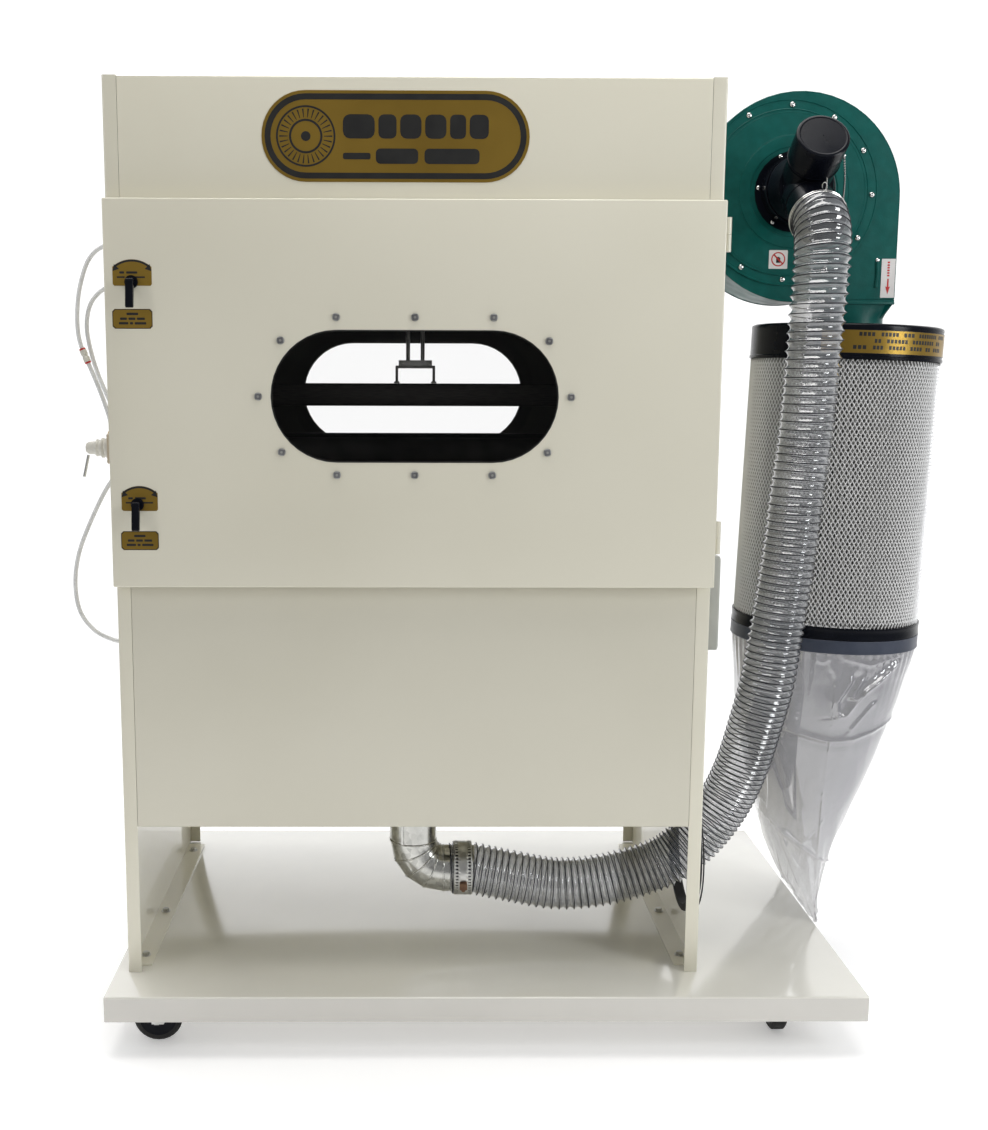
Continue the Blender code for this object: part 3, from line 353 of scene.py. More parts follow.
def gold_foil():
    look = Look("gold_foil", (0.34, 0.215, 0.035), 0.32, 0.7)
    look.mottled((0.28, 0.175, 0.028), 6, 3)
    look.worn(30, 0.29, 0.38)
    look.bump((look.noise(500, 2), 0.04, 0.0003))
    return look


def filter_media():
    look = Look("filter_media", (0.47, 0.465, 0.455), 0.92, Sheen_Weight=0.2)
    look.mottled((0.41, 0.405, 0.395), 14, 5, stretch=(1, 1, 0.25))
    look.bump((look.noise(700, 4), 0.35, 0.0006))
    return look


def make_materials():
    looks = (
        # Painted shade: the hopper skirt's paint is the ivory darkened to 0.87.
        ivory_paint(), ivory_paint("skirt_paint_shaded", 0.87),
        # Painted shade: the darker metal look on this line is zinc darkened for the window's nuts, which are
        # zinc.
        deck_paint(), metal("steel", (0.36, 0.36, 0.37), (0.24, 0.24, 0.25), 0.28, 0.40),
        green_paint(), metal("zinc", (0.66, 0.66, 0.64), (0.52, 0.52, 0.50), 0.28, 0.42),
        metal("chrome", (0.80, 0.80, 0.79), (0.70, 0.70, 0.69), 0.07, 0.16, grain=0.02), galvanised(),
        plastic("black_plastic", (0.003, 0.004, 0.007), (0.005, 0.006, 0.010), 0.16, 0.26,
                Specular_IOR_Level=0.13),
        plastic("rubber", (0.012, 0.012, 0.012), (0.026, 0.025, 0.024), 0.60, 0.80, 0.25,
                Specular_IOR_Level=0.3),
        pane("tinted_pane", (0.012, 0.012, 0.013), 0.06), pane("clear_pane", (0.05, 0.05, 0.05), 0.03),
        metal("aluminium", (0.60, 0.60, 0.60), (0.50, 0.50, 0.50), 0.30, 0.45, (1, 12, 12)), clear_hose(),
        plastic("milky_tube", (0.90, 0.91, 0.92), (0.82, 0.83, 0.84), 0.16, 0.26, 0.03, Alpha=0.85),
        plastic("tan_plastic", (0.62, 0.53, 0.41), (0.54, 0.46, 0.35), 0.45, 0.60),
                plastic("boot_plastic", (0.80, 0.79, 0.73), (0.70, 0.68, 0.62), 0.40, 0.55),
        plastic("grey_enamel", (0.66, 0.67, 0.61), (0.60, 0.61, 0.56), 0.38, 0.50, 0.15), filter_media(),
        metal("mesh_metal", (0.90, 0.90, 0.90), (0.86, 0.86, 0.86), 0.29, 0.35, scale=30, share=0.30),
        plastic("band_grey", (0.045, 0.054, 0.080), (0.060, 0.070, 0.098), 0.30, 0.42,
                Specular_IOR_Level=0.3),
        clear_film(), plastic("motor_black", (0.022, 0.022, 0.023), (0.034, 0.034, 0.035), 0.42, 0.55, 0.2),
        plastic("start_green", (0.02, 0.32, 0.07), (0.03, 0.38, 0.09), 0.30, 0.42),
                plastic("stop_red", (0.52, 0.018, 0.018), (0.60, 0.03, 0.025), 0.30, 0.42),
        gold_foil(), plastic("black_print", (0.008, 0.008, 0.008), (0.014, 0.014, 0.013), 0.35, 0.50),
        plastic("white_label", (0.84, 0.82, 0.80), (0.76, 0.73, 0.72), 0.35, 0.50),
                metal("brass", (0.72, 0.50, 0.22), (0.58, 0.40, 0.17), 0.28, 0.38),
        metal("rusty_steel", (0.28, 0.17, 0.11), (0.17, 0.10, 0.07), 0.40, 0.60),
              metal("dark_wire", (0.055, 0.055, 0.062), (0.035, 0.035, 0.04), 0.30, 0.45),
        # Painted shade: a near-black copy of brushed metal for the blow beam, which stands in the chamber's
        # shade.
        metal("beam_metal_shaded", (0.10, 0.095, 0.09), (0.065, 0.062, 0.06), 0.34, 0.50, (1, 12, 12)),
              plastic("black_foam", (0.015, 0.015, 0.015), (0.03, 0.03, 0.03), 0.85, 0.95, 0.6),
    )
    return {look.name: look.material for look in looks}


# ---------------------------------------------------------------- outlines

def circle(radius, sides, x=0.0, y=0.0):
    return [(x + radius * cos(tau * k / sides), y + radius * sin(tau * k / sides)) for k in range(sides)]


def track(half_length, radius, x=0.0, y=0.0, steps=20):
    """A running track's outline, its straights along the first axis."""
    outline = []
    for end, start in ((half_length, -pi / 2), (-half_length, pi / 2)):
        for step in range(steps + 1):
            angle = start + pi * step / steps
            outline.append((x + end + radius * cos(angle), y + radius * sin(angle)))
    return outline


def rounded(x0, y0, x1, y1, radius, steps=6):
    """A rectangle with round corners, counter-clockwise."""
    outline = []
    for x, y, start in ((x1 - radius, y0 + radius, -pi / 2), (x1 - radius, y1 - radius, 0),
                        (x0 + radius, y1 - radius, pi / 2), (x0 + radius, y0 + radius, pi)):
        for step in range(steps + 1):
            angle = start + pi / 2 * step / steps
            outline.append((x + radius * cos(angle), y + radius * sin(angle)))
    return outline


# ---------------------------------------------------------------- meshes

def to_mesh(bm, outward=True):
    if outward:
        bmesh.ops.recalc_face_normals(bm, faces=bm.faces)
    mesh = bpy.data.meshes.new("shape")
    bm.to_mesh(mesh)
    bm.free()
    return mesh


def stitch(bm, here, there):
    """Quads between two closed loops of equal counts."""
    for k in range(len(here)):
        after = (k + 1) % len(here)
        bm.faces.new((here[k], here[after], there[after], there[k]))


def lofted(loops, ends=False, ring=False):
    """A skin through closed loops of points, its ends filled or its last loop joined to its first."""
    bm = bmesh.new()
    rows = [[bm.verts.new(point) for point in loop] for loop in loops]
    for here, there in zip(rows, rows[1:] + rows[:1] if ring else rows[1:]):
        stitch(bm, here, there)
    if ends:
        bm.faces.new(rows[0])
        bm.faces.new(rows[-1])
    return to_mesh(bm)


def placed(outline, axis, level):
    """An outline, given in the two axes other than this one in X, Y, Z order, at a level along it."""
    at = "XYZ".index(axis)
    return [(*point[:at], level, *point[at:]) for point in outline]


def polar(radius, angle, height=0.0):
    return Vector((radius * cos(angle), radius * sin(angle), height))


def aim(centre, direction):
    """A matrix that puts a shape made along +Z at centre, along direction."""
    return Matrix.Translation(centre) @ Vector(direction).to_track_quat("Z", "Y").to_matrix().to_4x4()


def gather(meshes):
    """Several meshes as one."""
    bm = bmesh.new()
    for mesh in meshes:
        bm.from_mesh(mesh)
    return to_mesh(bm)


def prism(outline, axis, start, end, place=None):
    """An outline run along an axis from start to end, and then moved to its place."""
    mesh = lofted([placed(outline, axis, level) for level in (start, end)], ends=True)
    if place:
        mesh.transform(place)
    return mesh


def frame_strip(outer, inner, axis, start, end):
    """The strip between two outlines of equal point counts, run from start to end."""
    corners = ((outer, start), (inner, start), (inner, end), (outer, end))
    return lofted([placed(outline, axis, level) for outline, level in corners], ring=True)


def turned(profile, sides=48, matrix=None):
    """A closed profile of (radius, height) turned about Z. Points on the axis close it there."""
    bm = bmesh.new()
    loops = []
    for radius, height in profile:
        count = 1 if radius == 0 else sides
        loops.append([bm.verts.new(polar(radius, tau * k / sides, height)) for k in range(count)])
    for here, there in zip(loops, loops[1:] + loops[:1]):
        if len(here) == len(there) == 1:
            continue
        for k in range(sides):
            after = (k + 1) % sides
            corners = [here[k % len(here)], here[after % len(here)], there[after % len(there)],
                       there[k % len(there)]]
            bm.faces.new(list(dict.fromkeys(corners)))
    mesh = to_mesh(bm)
    if matrix:
        mesh.transform(matrix)
    return mesh


def bar(start, end, radius, sides=24):
    start, end = Vector(start), Vector(end)
    length = (end - start).length
    soft = min(radius * 0.2, length * 0.2)
    profile = [(0, 0), (radius - soft, 0), (radius, soft), (radius, length - soft),
               (radius - soft, length), (0, length)]
    return turned(profile, sides, aim(start, end - start))


def eased(before, start, end, after, t):
    """Where a Catmull-Rom curve is between start and end, at a share t of the way."""
    return 0.5 * (2 * start + (end - before) * t + (2 * before - 5 * start + 4 * end - after) * t ** 2
                  + (3 * start - before - 3 * end + after) * t ** 3)


def smooth_route(points, per_span):
    """Points along a Catmull-Rom curve through the given points."""
    knots = [Vector(point) for point in points]
    knots = [2 * knots[0] - knots[1], *knots, 2 * knots[-1] - knots[-2]]
    curve = []
    for k in range(1, len(knots) - 2):
        curve += [eased(*knots[k - 1:k + 3], step / per_span) for step in range(per_span)]
    curve.append(knots[-2])
    return curve


def even_steps(points, step):
    """The same route with its points at even distances of about step."""
    lengths = [0.0]
    for before, after in zip(points, points[1:]):
        lengths.append(lengths[-1] + (after - before).length)
    count = max(2, round(lengths[-1] / step))
    even, span = [], 0
    for k in range(count + 1):
        want = lengths[-1] * k / count
        while span < len(points) - 2 and lengths[span + 1] < want:
            span += 1
        share = (want - lengths[span]) / max(1e-9, lengths[span + 1] - lengths[span])
        even.append(points[span].lerp(points[span + 1], min(1.0, share)))
    return even


def frames_along(points, side=(0, 0, 1)):
    """Two unit vectors across the route at each point, carried along it without twist."""
    side = Vector(side)
    frames = []
    for k in range(len(points)):
        run = (points[min(k + 1, len(points) - 1)] - points[max(k - 1, 0)]).normalized()
        side = (side - run * side.dot(run)).normalized()
        frames.append((side, run.cross(side)))
    return frames


def sweep(points, radius, sides=8):
    """A round rod along a route."""
    points = [Vector(point) for point in points]
    upright = abs((points[1] - points[0]).normalized().z) >= 0.9
    frames = frames_along(points, (1, 0, 0) if upright else (0, 0, 1))
    return lofted([[point + a * u + b * v for a, b in circle(radius, sides)]
                   for point, (u, v) in zip(points, frames)], ends=True)


def hoop(centre, direction, radius, wire):
    """A round ring of wire about a line."""
    return turned(circle(wire, 10, radius), 96, aim(centre, direction))


# ---------------------------------------------------------------- objects

def add(name, mesh, look, body="cabinet", slot=None, bevel=0.0, sharp=32, instead_of=()):
    """One piece, moved to the row's frame, on its body, with its material and its soft edges.

    The slot, given or named like its look, is worked out but not used.
    """
    if isinstance(mesh, list):
        mesh = gather(mesh)
    mesh.transform(Matrix.Translation(ORIGIN))
    mesh.materials.clear()
    mesh.materials.append(LOOKS[look])
    mesh.name = name
    made = linked(name, mesh)
    made.data.shade_smooth()
    made.data.set_sharp_from_angle(angle=radians(sharp))
    if bevel:
        soften(made, bevel, 35)
    if body:
        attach(made, body)
    if slot is None and look in SLOTS:
        slot = look
    if instead_of:
        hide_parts(*instead_of)
    return made


def soften(made, width, steepest):
    """A small bevel on every edge that turns by more than this many degrees."""
    modifier = made.modifiers.new("edges", "BEVEL")
    modifier.width = width
    modifier.segments = 2
    modifier.limit_method = "ANGLE"
    modifier.angle_limit = radians(steepest)
    modifier.harden_normals = True
    modifier.use_clamp_overlap = True


def joining_tree():
    """Geometry nodes that join the CAD's separate triangles and smooth all but the sharp edges."""
    tree = bpy.data.node_groups.new("join_and_smooth", "GeometryNodeTree")
    for way in ("INPUT", "OUTPUT"):
        tree.interface.new_socket("Geometry", in_out=way, socket_type="NodeSocketGeometry")
    nodes, links = tree.nodes, tree.links
    plain = nodes.new("GeometryNodeRemoveAttribute")
    plain.inputs["Name"].default_value = "custom_normal"
    weld = nodes.new("GeometryNodeMergeByDistance")
    weld.inputs["Distance"].default_value = 0.00003
    faces = nodes.new("GeometryNodeSetShadeSmooth")
    faces.domain = "FACE"
    edges = nodes.new("GeometryNodeSetShadeSmooth")
    edges.domain = "EDGE"
    edges.inputs["Shade Smooth"].default_value = False
    angle = nodes.new("GeometryNodeInputMeshEdgeAngle")
    steep = nodes.new("FunctionNodeCompare")
    steep.data_type = "FLOAT"
    steep.operation = "GREATER_THAN"
    steep.inputs["B"].default_value = radians(32)
    links.new(angle.outputs["Unsigned Angle"], steep.inputs["A"])
    links.new(steep.outputs["Result"], edges.inputs["Selection"])
    run = [nodes.new("NodeGroupInput"), plain, weld, faces, edges, nodes.new("NodeGroupOutput")]
    for before, after in zip(run, run[1:]):
        links.new(before.outputs[0], after.inputs[0])
    return tree


def dress_cad_nodes():
    """Each CAD node gets its slot's material, and its joined, smoothed and softened edges."""
    tree = joining_tree()
    # Painted shade: the blow beam takes a near-black copy of brushed metal.
    own_look = {"back_window_pane": "clear_pane", "platform": "deck_paint", "blow_beam": "beam_metal_shaded",
                # Painted shade: the hopper skirt takes the darkened copy of the ivory paint.
                "hopper_skirt": "skirt_paint_shaded"}
    bevels = {0.0006: ("control_box", "outlet_transition", "lift_slide", "blow_beam"),
              0.0008: ("blower_housing", "motor_bracket", "lift_cylinder"),
              0.0010: ("start_button", "stop_button"),
              0.0014: ("top_panel", "back_panel", "platform", "door", "upper_latch_lever",
                       "lower_latch_lever"),
              0.0015: ("blower_motor",),
              0.0016: ("side_panel_left", "side_panel_right", "header_panel", "hopper_skirt"),
              0.0020: ("roller_gearmotor",)}
    crisp = {name: width for width, names in bevels.items() for name in names}
    for part in frame["record"]["subparts"]:
        name = part["node"]
        node = NODES[name]
        for entry in node.material_slots:
            entry.material = LOOKS[own_look.get(name, part["material_slot"])]
        joined = node.modifiers.new("join", "NODES")
        joined.node_group = tree
        if name in crisp:
            flat = node.modifiers.new("flat", "DECIMATE")
            flat.decimate_type = "DISSOLVE"
            flat.angle_limit = radians(0.5)
            soften(node, crisp[name], 40)


# ---------------------------------------------------------------- hose and air tubes

def hose_pitch(share):
    """The wire's pitch along the hose: close at the bend by the leg, stretched where it hangs."""
    stops = ((0.00, 0.0120), (0.06, 0.0145), (0.18, 0.0142), (0.27, 0.0110), (0.36, 0.0108),
             (0.50, 0.0138), (0.68, 0.0165), (0.90, 0.0180), (0.96, 0.0150), (1.00, 0.0120))
    for (start, first), (end, second) in zip(stops, stops[1:]):
        if share <= end:
            return first + (second - first) * (share - start) / (end - start)
    return stops[-1][1]


def make_hose():
    """A clear vinyl hose: a skin that dips between the turns of its wire, with the wire in its crests."""
    dip, wire, step, sides = 0.0052, 0.0012, 0.0018, 40
    route = even_steps(smooth_route(HOSE_ROUTE, 24), step)
    step = (route[1] - route[0]).length
    across = frames_along(route)
    turns = [0.0]
    for k in range(1, len(route)):
        turns.append(turns[-1] + step / hose_pitch(k / (len(route) - 1)))
    loops = []
    for point, (u, v), turn in zip(route, across, turns):
        loop = []
        for k in range(sides):
            angle = tau * k / sides
            dent = abs(sin(pi * (turn - k / sides))) ** 1.4
            sag = 0.0006 * noise.noise(point * 60 + Vector((k, 0, 0)) * 0.4)
            radius = HOSE_R - 0.0004 - dip * dent + sag * dent
            loop.append(point + radius * (cos(angle) * u + sin(angle) * v))
        loops.append(loop)
    skin = add("ribbed_hose", lofted(loops), "clear_hose", sharp=70, instead_of=("dust_hose",))

    per_turn, coil = 26, []
    for k in range(int(turns[-1] * per_turn)):
        want = k / per_turn
        before = min(bisect_right(turns, want) - 1, len(turns) - 2)
        share = (want - turns[before]) / (turns[before + 1] - turns[before])
        point = route[before].lerp(route[before + 1], share)
        u, v = across[before]
        coil.append(point + (HOSE_R - wire / 2) * (cos(tau * want) * u + sin(tau * want) * v))
    spiral = add("hose_wire", sweep(coil, wire, 6), "dark_wire", sharp=80)
    return skin, spiral, route


def elbow_clamp():
    """A wide worm clamp with two rows of slots over the hose's first ribs, and the duct inside it."""
    start, width, radius, count = 0.087, 0.039, HOSE_R + 0.0012, 96
    strips = (0.0, 0.003, 0.009, 0.015, 0.024, 0.030, 0.036, width)
    slotted = (1, 5)
    place = aim((start, *HOSE_ROUTE[0][1:]), X)
    bm = bmesh.new()
    rows = [[bm.verts.new(place @ Vector((x, y, z))) for x, y in circle(radius, count)] for z in strips]
    for row, (here, there) in enumerate(zip(rows, rows[1:])):
        for k in range(0, count, 1 + (row in slotted)):
            after = (k + 1) % count
            bm.faces.new((here[k], here[after], there[after], there[k]))
    band = add("elbow_clamp", to_mesh(bm), "zinc")
    solid = band.modifiers.new("sheet", "SOLIDIFY")
    solid.thickness = 0.0008
    solid.offset = 1

    angle = radians(198)
    out, along = Vector((0, cos(angle), sin(angle))), Vector((0, -sin(angle), cos(angle)))
    seat = Vector((start + width / 2, *HOSE_ROUTE[0][1:])) + out * (radius + 0.005)
    tail = aim(seat + along * 0.0085, along)
    case = prism(rounded(-0.008, -0.0085, 0.008, 0.0085, 0.003), "Z", -0.0045, 0.0045,
                 Matrix.Translation(seat) @ Matrix((X, along, out)).transposed().to_4x4())
    head = prism(circle(0.0045, 6), "Z", 0, 0.005, tail)
    groove = prism(rounded(-0.0006, -0.0035, 0.0006, 0.0035, 0.0005), "Z", 0.0045, 0.0056, tail)
    add("elbow_clamp_screw", [case, head, groove], "rusty_steel", bevel=0.0005)
    lining = mm((47.8, 0), (49, 0), (49, 20), (49.6, 22), (49, 24), (49, 52), (47.8, 52))
    add("elbow_spigot", turned(lining, 48, aim((0.079, *HOSE_ROUTE[0][1:]), X)), "galvanised")
    return band


def wye_clamp(route):
    """A two-turn spring-wire clamp round the hose's top end, with its hooked tails."""
    end, run = route[-1], -BRANCH_DOWN
    rings = [hoop(end - run * back, run, HOSE_R + 0.0014, 0.0013) for back in (0.007, 0.0135)]
    up = Vector((0, -sin(BRANCH_TILT), cos(BRANCH_TILT)))
    top = end - run * 0.010 + up * (HOSE_R + 0.0014)
    loop = [top + X * (0.004 * cos(a)) + up * (0.009 + 0.0075 * sin(a)) + run * 0.0018 * a
            for a in (radians(-80 + 30 * k) for k in range(12))]
    tail = [top + X * 0.003 - run * 0.004 + up * (0.004 + 0.004 * k) + run * 0.002 * k for k in range(6)]
    add("wye_clamp", [*rings, sweep(loop, 0.0009), sweep(tail, 0.0009)], "chrome")
    inside = mm((45.5, 0), (48, 0), (48, 34), (47, 36), (45.5, 36))
    add("wye_spigot", turned(inside, 48, aim(end - run * 0.0008, BRANCH_DOWN)), "black_plastic")


def make_tubes():
    """Milky push-in air tubes, and the fittings at their ends."""
    made = {}
    fittings = []
    collar = mm((4.8, 0), (8, 0), (8, 4), (6.8, 5), (6.8, 10), (5.8, 11.5), (4.8, 11.5))
    for name, route in TUBE_ROUTES.items():
        data = bpy.data.curves.new(f"{name}_line", "CURVE")
        data.dimensions = "3D"
        data.bevel_depth = TUBE_R
        data.bevel_resolution = 5
        data.use_fill_caps = True
        data.materials.append(LOOKS["milky_tube"])
        points = smooth_route(route, 8)
        spline = data.splines.new("POLY")
        spline.points.add(len(points) - 1)
        for knot, point in zip(spline.points, points):
            knot.co = (*(point + ORIGIN), 1)
        spline.use_smooth = True
        tube = linked(f"{name}_line", data)
        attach(tube, "cabinet")
        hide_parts(name)
        made[name] = tube
        for end, after in ((points[0], points[1]), (points[-1], points[-2])):
            if abs(end.x + HALF) < 0.002:
                seat = aim(end, after - end)
                fittings += [turned(collar, 20, seat), prism(circle(0.0085, 6), "Z", -0.0005, 0.0035, seat)]
    add("tube_fittings", fittings, "brass", bevel=0.0004)

    route = smooth_route(TUBE_ROUTES["air_tube_upper"], 8)
    place = next(k for k, point in enumerate(route) if point.z < 1.395)
    seat = aim(route[place], route[place + 1] - route[place])
    bore = TUBE_R + 0.0003
    body = [(bore, -0.013), *mm((7.2, -13), (7.2, -3), (6, -1.5), (6, 1.5), (7.2, 3), (7.2, 13)),
            (bore, 0.013)]
    add("tube_union", turned(body, 24, seat), "boot_plastic", bevel=0.0004)
    rings = [turned([(bore, start), (0.0066, start), (0.0066, end), (bore, end)], 24, seat)
             for start, end in ((-0.0165, -0.0130), (0.0130, 0.0165))]
    add("tube_union_rings", rings, "stop_red", slot="", bevel=0.0004)
    return made


def make_cords():
    """The dust hose, its clamps and spigots, and the air tubes."""
    skin, spiral, route = make_hose()
    band = elbow_clamp()
    wye_clamp(route)
    for name, tube in make_tubes().items():
        points = smooth_route(TUBE_ROUTES[name], 8)


# ---------------------------------------------------------------- cabinet

def printed(outlines, face, thickness=0.0003):
    """Flat shapes in X and Z, laid on a front that faces -Y."""
    return gather([prism(outline, "Y", face - thickness, face) for outline in outlines])


def bars(left, bottom, height, widths, gap):
    """A row of plain round-ended bars, where a label has its lettering."""
    shapes, x = [], left
    for width in widths:
        shapes.append(rounded(x, bottom, x + width, bottom + height, min(width, height) * 0.3, 3))
        x += width + gap
    return shapes


def name_plate():
    """A name plate: gold foil with a black border, a pleated cartridge seen from its end, and bars."""
    x, z, radius, half, front, print_depth = -0.037, 1.7975, 0.0835, 0.1695, -0.0010, 0.0003
    add("name_plate", prism(track(half, radius, x, z), "Y", front, -0.0001), "gold_foil", bevel=0.0003)
    left_end = x - half
    border = frame_strip(track(half, radius - 0.0060, x, z), track(half, radius - 0.0170, x, z),
                         "Y", front - print_depth, front)
    pleat = ((0.034, -0.018), (0.050, -0.0288), (0.050, 0.0288), (0.034, 0.018))
    pleats = [[(left_end + r * cos(tau * k / 30 + a), z + r * sin(tau * k / 30 + a)) for r, a in pleat]
              for k in range(30)]
    pictogram = printed([*pleats, circle(0.009, 32, left_end, z)], front)
    rings = [frame_strip(circle(r + w, 64, left_end, z), circle(r, 64, left_end, z), "Y",
                         front - print_depth, front) for r, w in ((0.0525, 0.0035), (0.0275, 0.0040))]
    words = bars(left_end + 0.070, z - 0.004, 0.044, (0.060, 0.034, 0.040, 0.040, 0.030, 0.036), 0.007)
    words += bars(left_end + 0.070, z - 0.042, 0.012, (0.052,), 0.006)
    words += bars(left_end + 0.132, z - 0.050, 0.028, (0.080, 0.104), 0.012)
    add("name_plate_print", [border, pictogram, *rings, printed(words, front)], "black_print")


def screw_head(place, radius=0.0055, height=0.0030):
    """A pan head with a recess, made along +Z at place."""
    dome = [(radius * cos(a), height * 0.35 + height * 0.65 * sin(a))
            for a in (radians(18 * k) for k in range(5))]
    return turned([(0, 0), (radius, 0), *dome, (radius * 0.30, height), (radius * 0.22, height * 0.55),
                   (0, height * 0.45)], 20, place)


def screw_heads(places, way, *size):
    """Screws at several places that all face one way."""
    return [screw_head(aim(place, way), *size) for place in places]


def hex_bolt(place, across=0.013, height=0.0055, washer=0.0105):
    """A hexagon head with its crown on a thin washer, made along +Z at place."""
    ring = turned([(0, 0), (washer, 0), (washer, 0.0010), (washer - 0.0004, 0.0014), (0, 0.0014)], 24, place)
    head = prism(circle(across / 2 / cos(pi / 6), 6), "Z", 0.0014, 0.0014 + height, place)
    crown = turned([(0, 0), (across * 0.45, 0), (across * 0.40, 0.0006), (0, 0.0008)], 18,
                   place @ Matrix.Translation((0, 0, 0.0014 + height)))
    return gather([ring, head, crown])


def cabinet_details():
    """The panels' screws, the foot bolts, the door's gasket, and the rear window's and grommet's trims."""
    top, back = high("top_panel").z, high("back_panel").y
    edge_rows = (top - 0.022, low("back_panel").z + 0.022)
    places = [(x, back, z) for x in (-0.560, -0.373, -0.187, 0, 0.187, 0.373, 0.560) for z in edge_rows]
    places += [(side * 0.570, back, 0.650 + 0.200 * k) for k in range(6) for side in (-1, 1)]
    add("back_panel_screws", screw_heads(places, Y), "zinc", bevel=0.0003)
    places = [(x, y, top) for x in (-0.540, -0.270, 0, 0.270, 0.540) for y in (0.060, 0.700)]
    add("top_panel_screws", screw_heads(places, Z), "zinc", bevel=0.0003)
    bolts = [hex_bolt(aim((side * 0.567, y, DECK + 0.0033), Z)) for side in (-1, 1)
             for y in (0.075, 0.303, 0.690)]
    add("foot_bolts", bolts, "zinc", bevel=0.0004)

    strip = 0.012
    outer = (-HALF + 0.006, low("door").z + 0.006, HALF - 0.006, high("door").z - 0.006)
    inner = (outer[0] + strip, outer[1] + strip, outer[2] - strip, outer[3] - strip)
    add("door_gasket", frame_strip(rounded(*outer, 0.010), rounded(*inner, 0.004), "Y", -0.0036, -0.0002),
        "black_foam", bevel=0.0008)
    window = (PANE.x, PANE.z)
    trim = frame_strip(track(WINDOW_HALF, WINDOW_R + 0.024, *window),
                       track(WINDOW_HALF, WINDOW_R - 0.002, *window), "Y", back + 0.0002, back + 0.0030)
    add("back_window_trim", trim, "black_foam", bevel=0.0008)
    lip = mm((125.5, 0), (129, 0), (129, 2.2), (125.5, 3))
    grommet = middle("hose_grommet")
    add("grommet_lip", turned(lip, 72, aim((HALF + 0.0106, grommet.y, grommet.z), X)), "rubber")


def hinge_leaves():
    """The hinges' leaves: one half welded to the side of the wall, one to the door's edge."""
    sheet = (HALF + 0.0001, HALF + 0.0019)
    fixed, moving = [], []
    for place in ("upper", "lower"):
        pin_low, pin_high = low(f"{place}_hinge_pin").z, high(f"{place}_hinge_sleeve").z
        half_way = low(f"{place}_hinge_sleeve").z
        fixed.append(prism(rounded(0.004, pin_low + 0.002, 0.030, half_way - 0.002, 0.003), "X", *sheet))
        leaf = rounded(-0.0285, half_way + 0.001, -0.0145, pin_high - 0.002, 0.003)
        moving.append(prism(leaf, "X", *sheet))
    add("hinge_leaves_fixed", fixed, "ivory_paint", bevel=0.0004)
    add("hinge_leaves_moving", moving, "ivory_paint", "door_leaf", bevel=0.0004)


# ---------------------------------------------------------------- door

def stud_places():
    """The window's twelve studs, in X and Z."""
    reach = WINDOW_R + STUD_OFFSET
    slant = reach / sqrt(2)
    places = [(x, side * reach) for x in (-WINDOW_HALF, 0, WINDOW_HALF) for side in (-1, 1)]
    for side in (-1, 1):
        end = side * WINDOW_HALF
        places += [(end + side * slant, -slant), (end + side * reach, 0), (end + side * slant, slant)]
    return [(PANE.x + x, PANE.z + z) for x, z in places]


def window_nuts():
    """The window's square nuts, each turned its own way, their washers, and the pane's edge trim."""
    nuts, washers = [], []
    for k, (x, z) in enumerate(stud_places()):
        place = aim((x, DOOR_FACE, z), -Y)
        turn = Matrix.Rotation(radians(45 + 11 * sin(5 * k)), 4, "Z")
        nuts.append(prism(circle(0.0080, 4), "Z", 0.0008, 0.0048, place @ turn))
        washers.append(turned(mm((2.7, 0), (7.8, 0), (7.8, 0.8), (2.7, 0.8)), 24, place))
    # Painted shade: the zinc nuts get a metal look darker than zinc, for their shading.
    add("window_nuts", nuts, "steel", "door_leaf", "zinc", bevel=0.0007)
    add("window_washers", washers, "zinc", "door_leaf")
    lip = frame_strip(track(WINDOW_HALF, WINDOW_R + 0.0012, PANE.x, PANE.z),
                      track(WINDOW_HALF, WINDOW_R - 0.0016, PANE.x, PANE.z), "Y", DOOR_FACE - 0.0006,
                      DOOR_FACE + 0.0021)
    add("window_edge_trim", lip, "rubber", "door_leaf", bevel=0.0004, sharp=50)


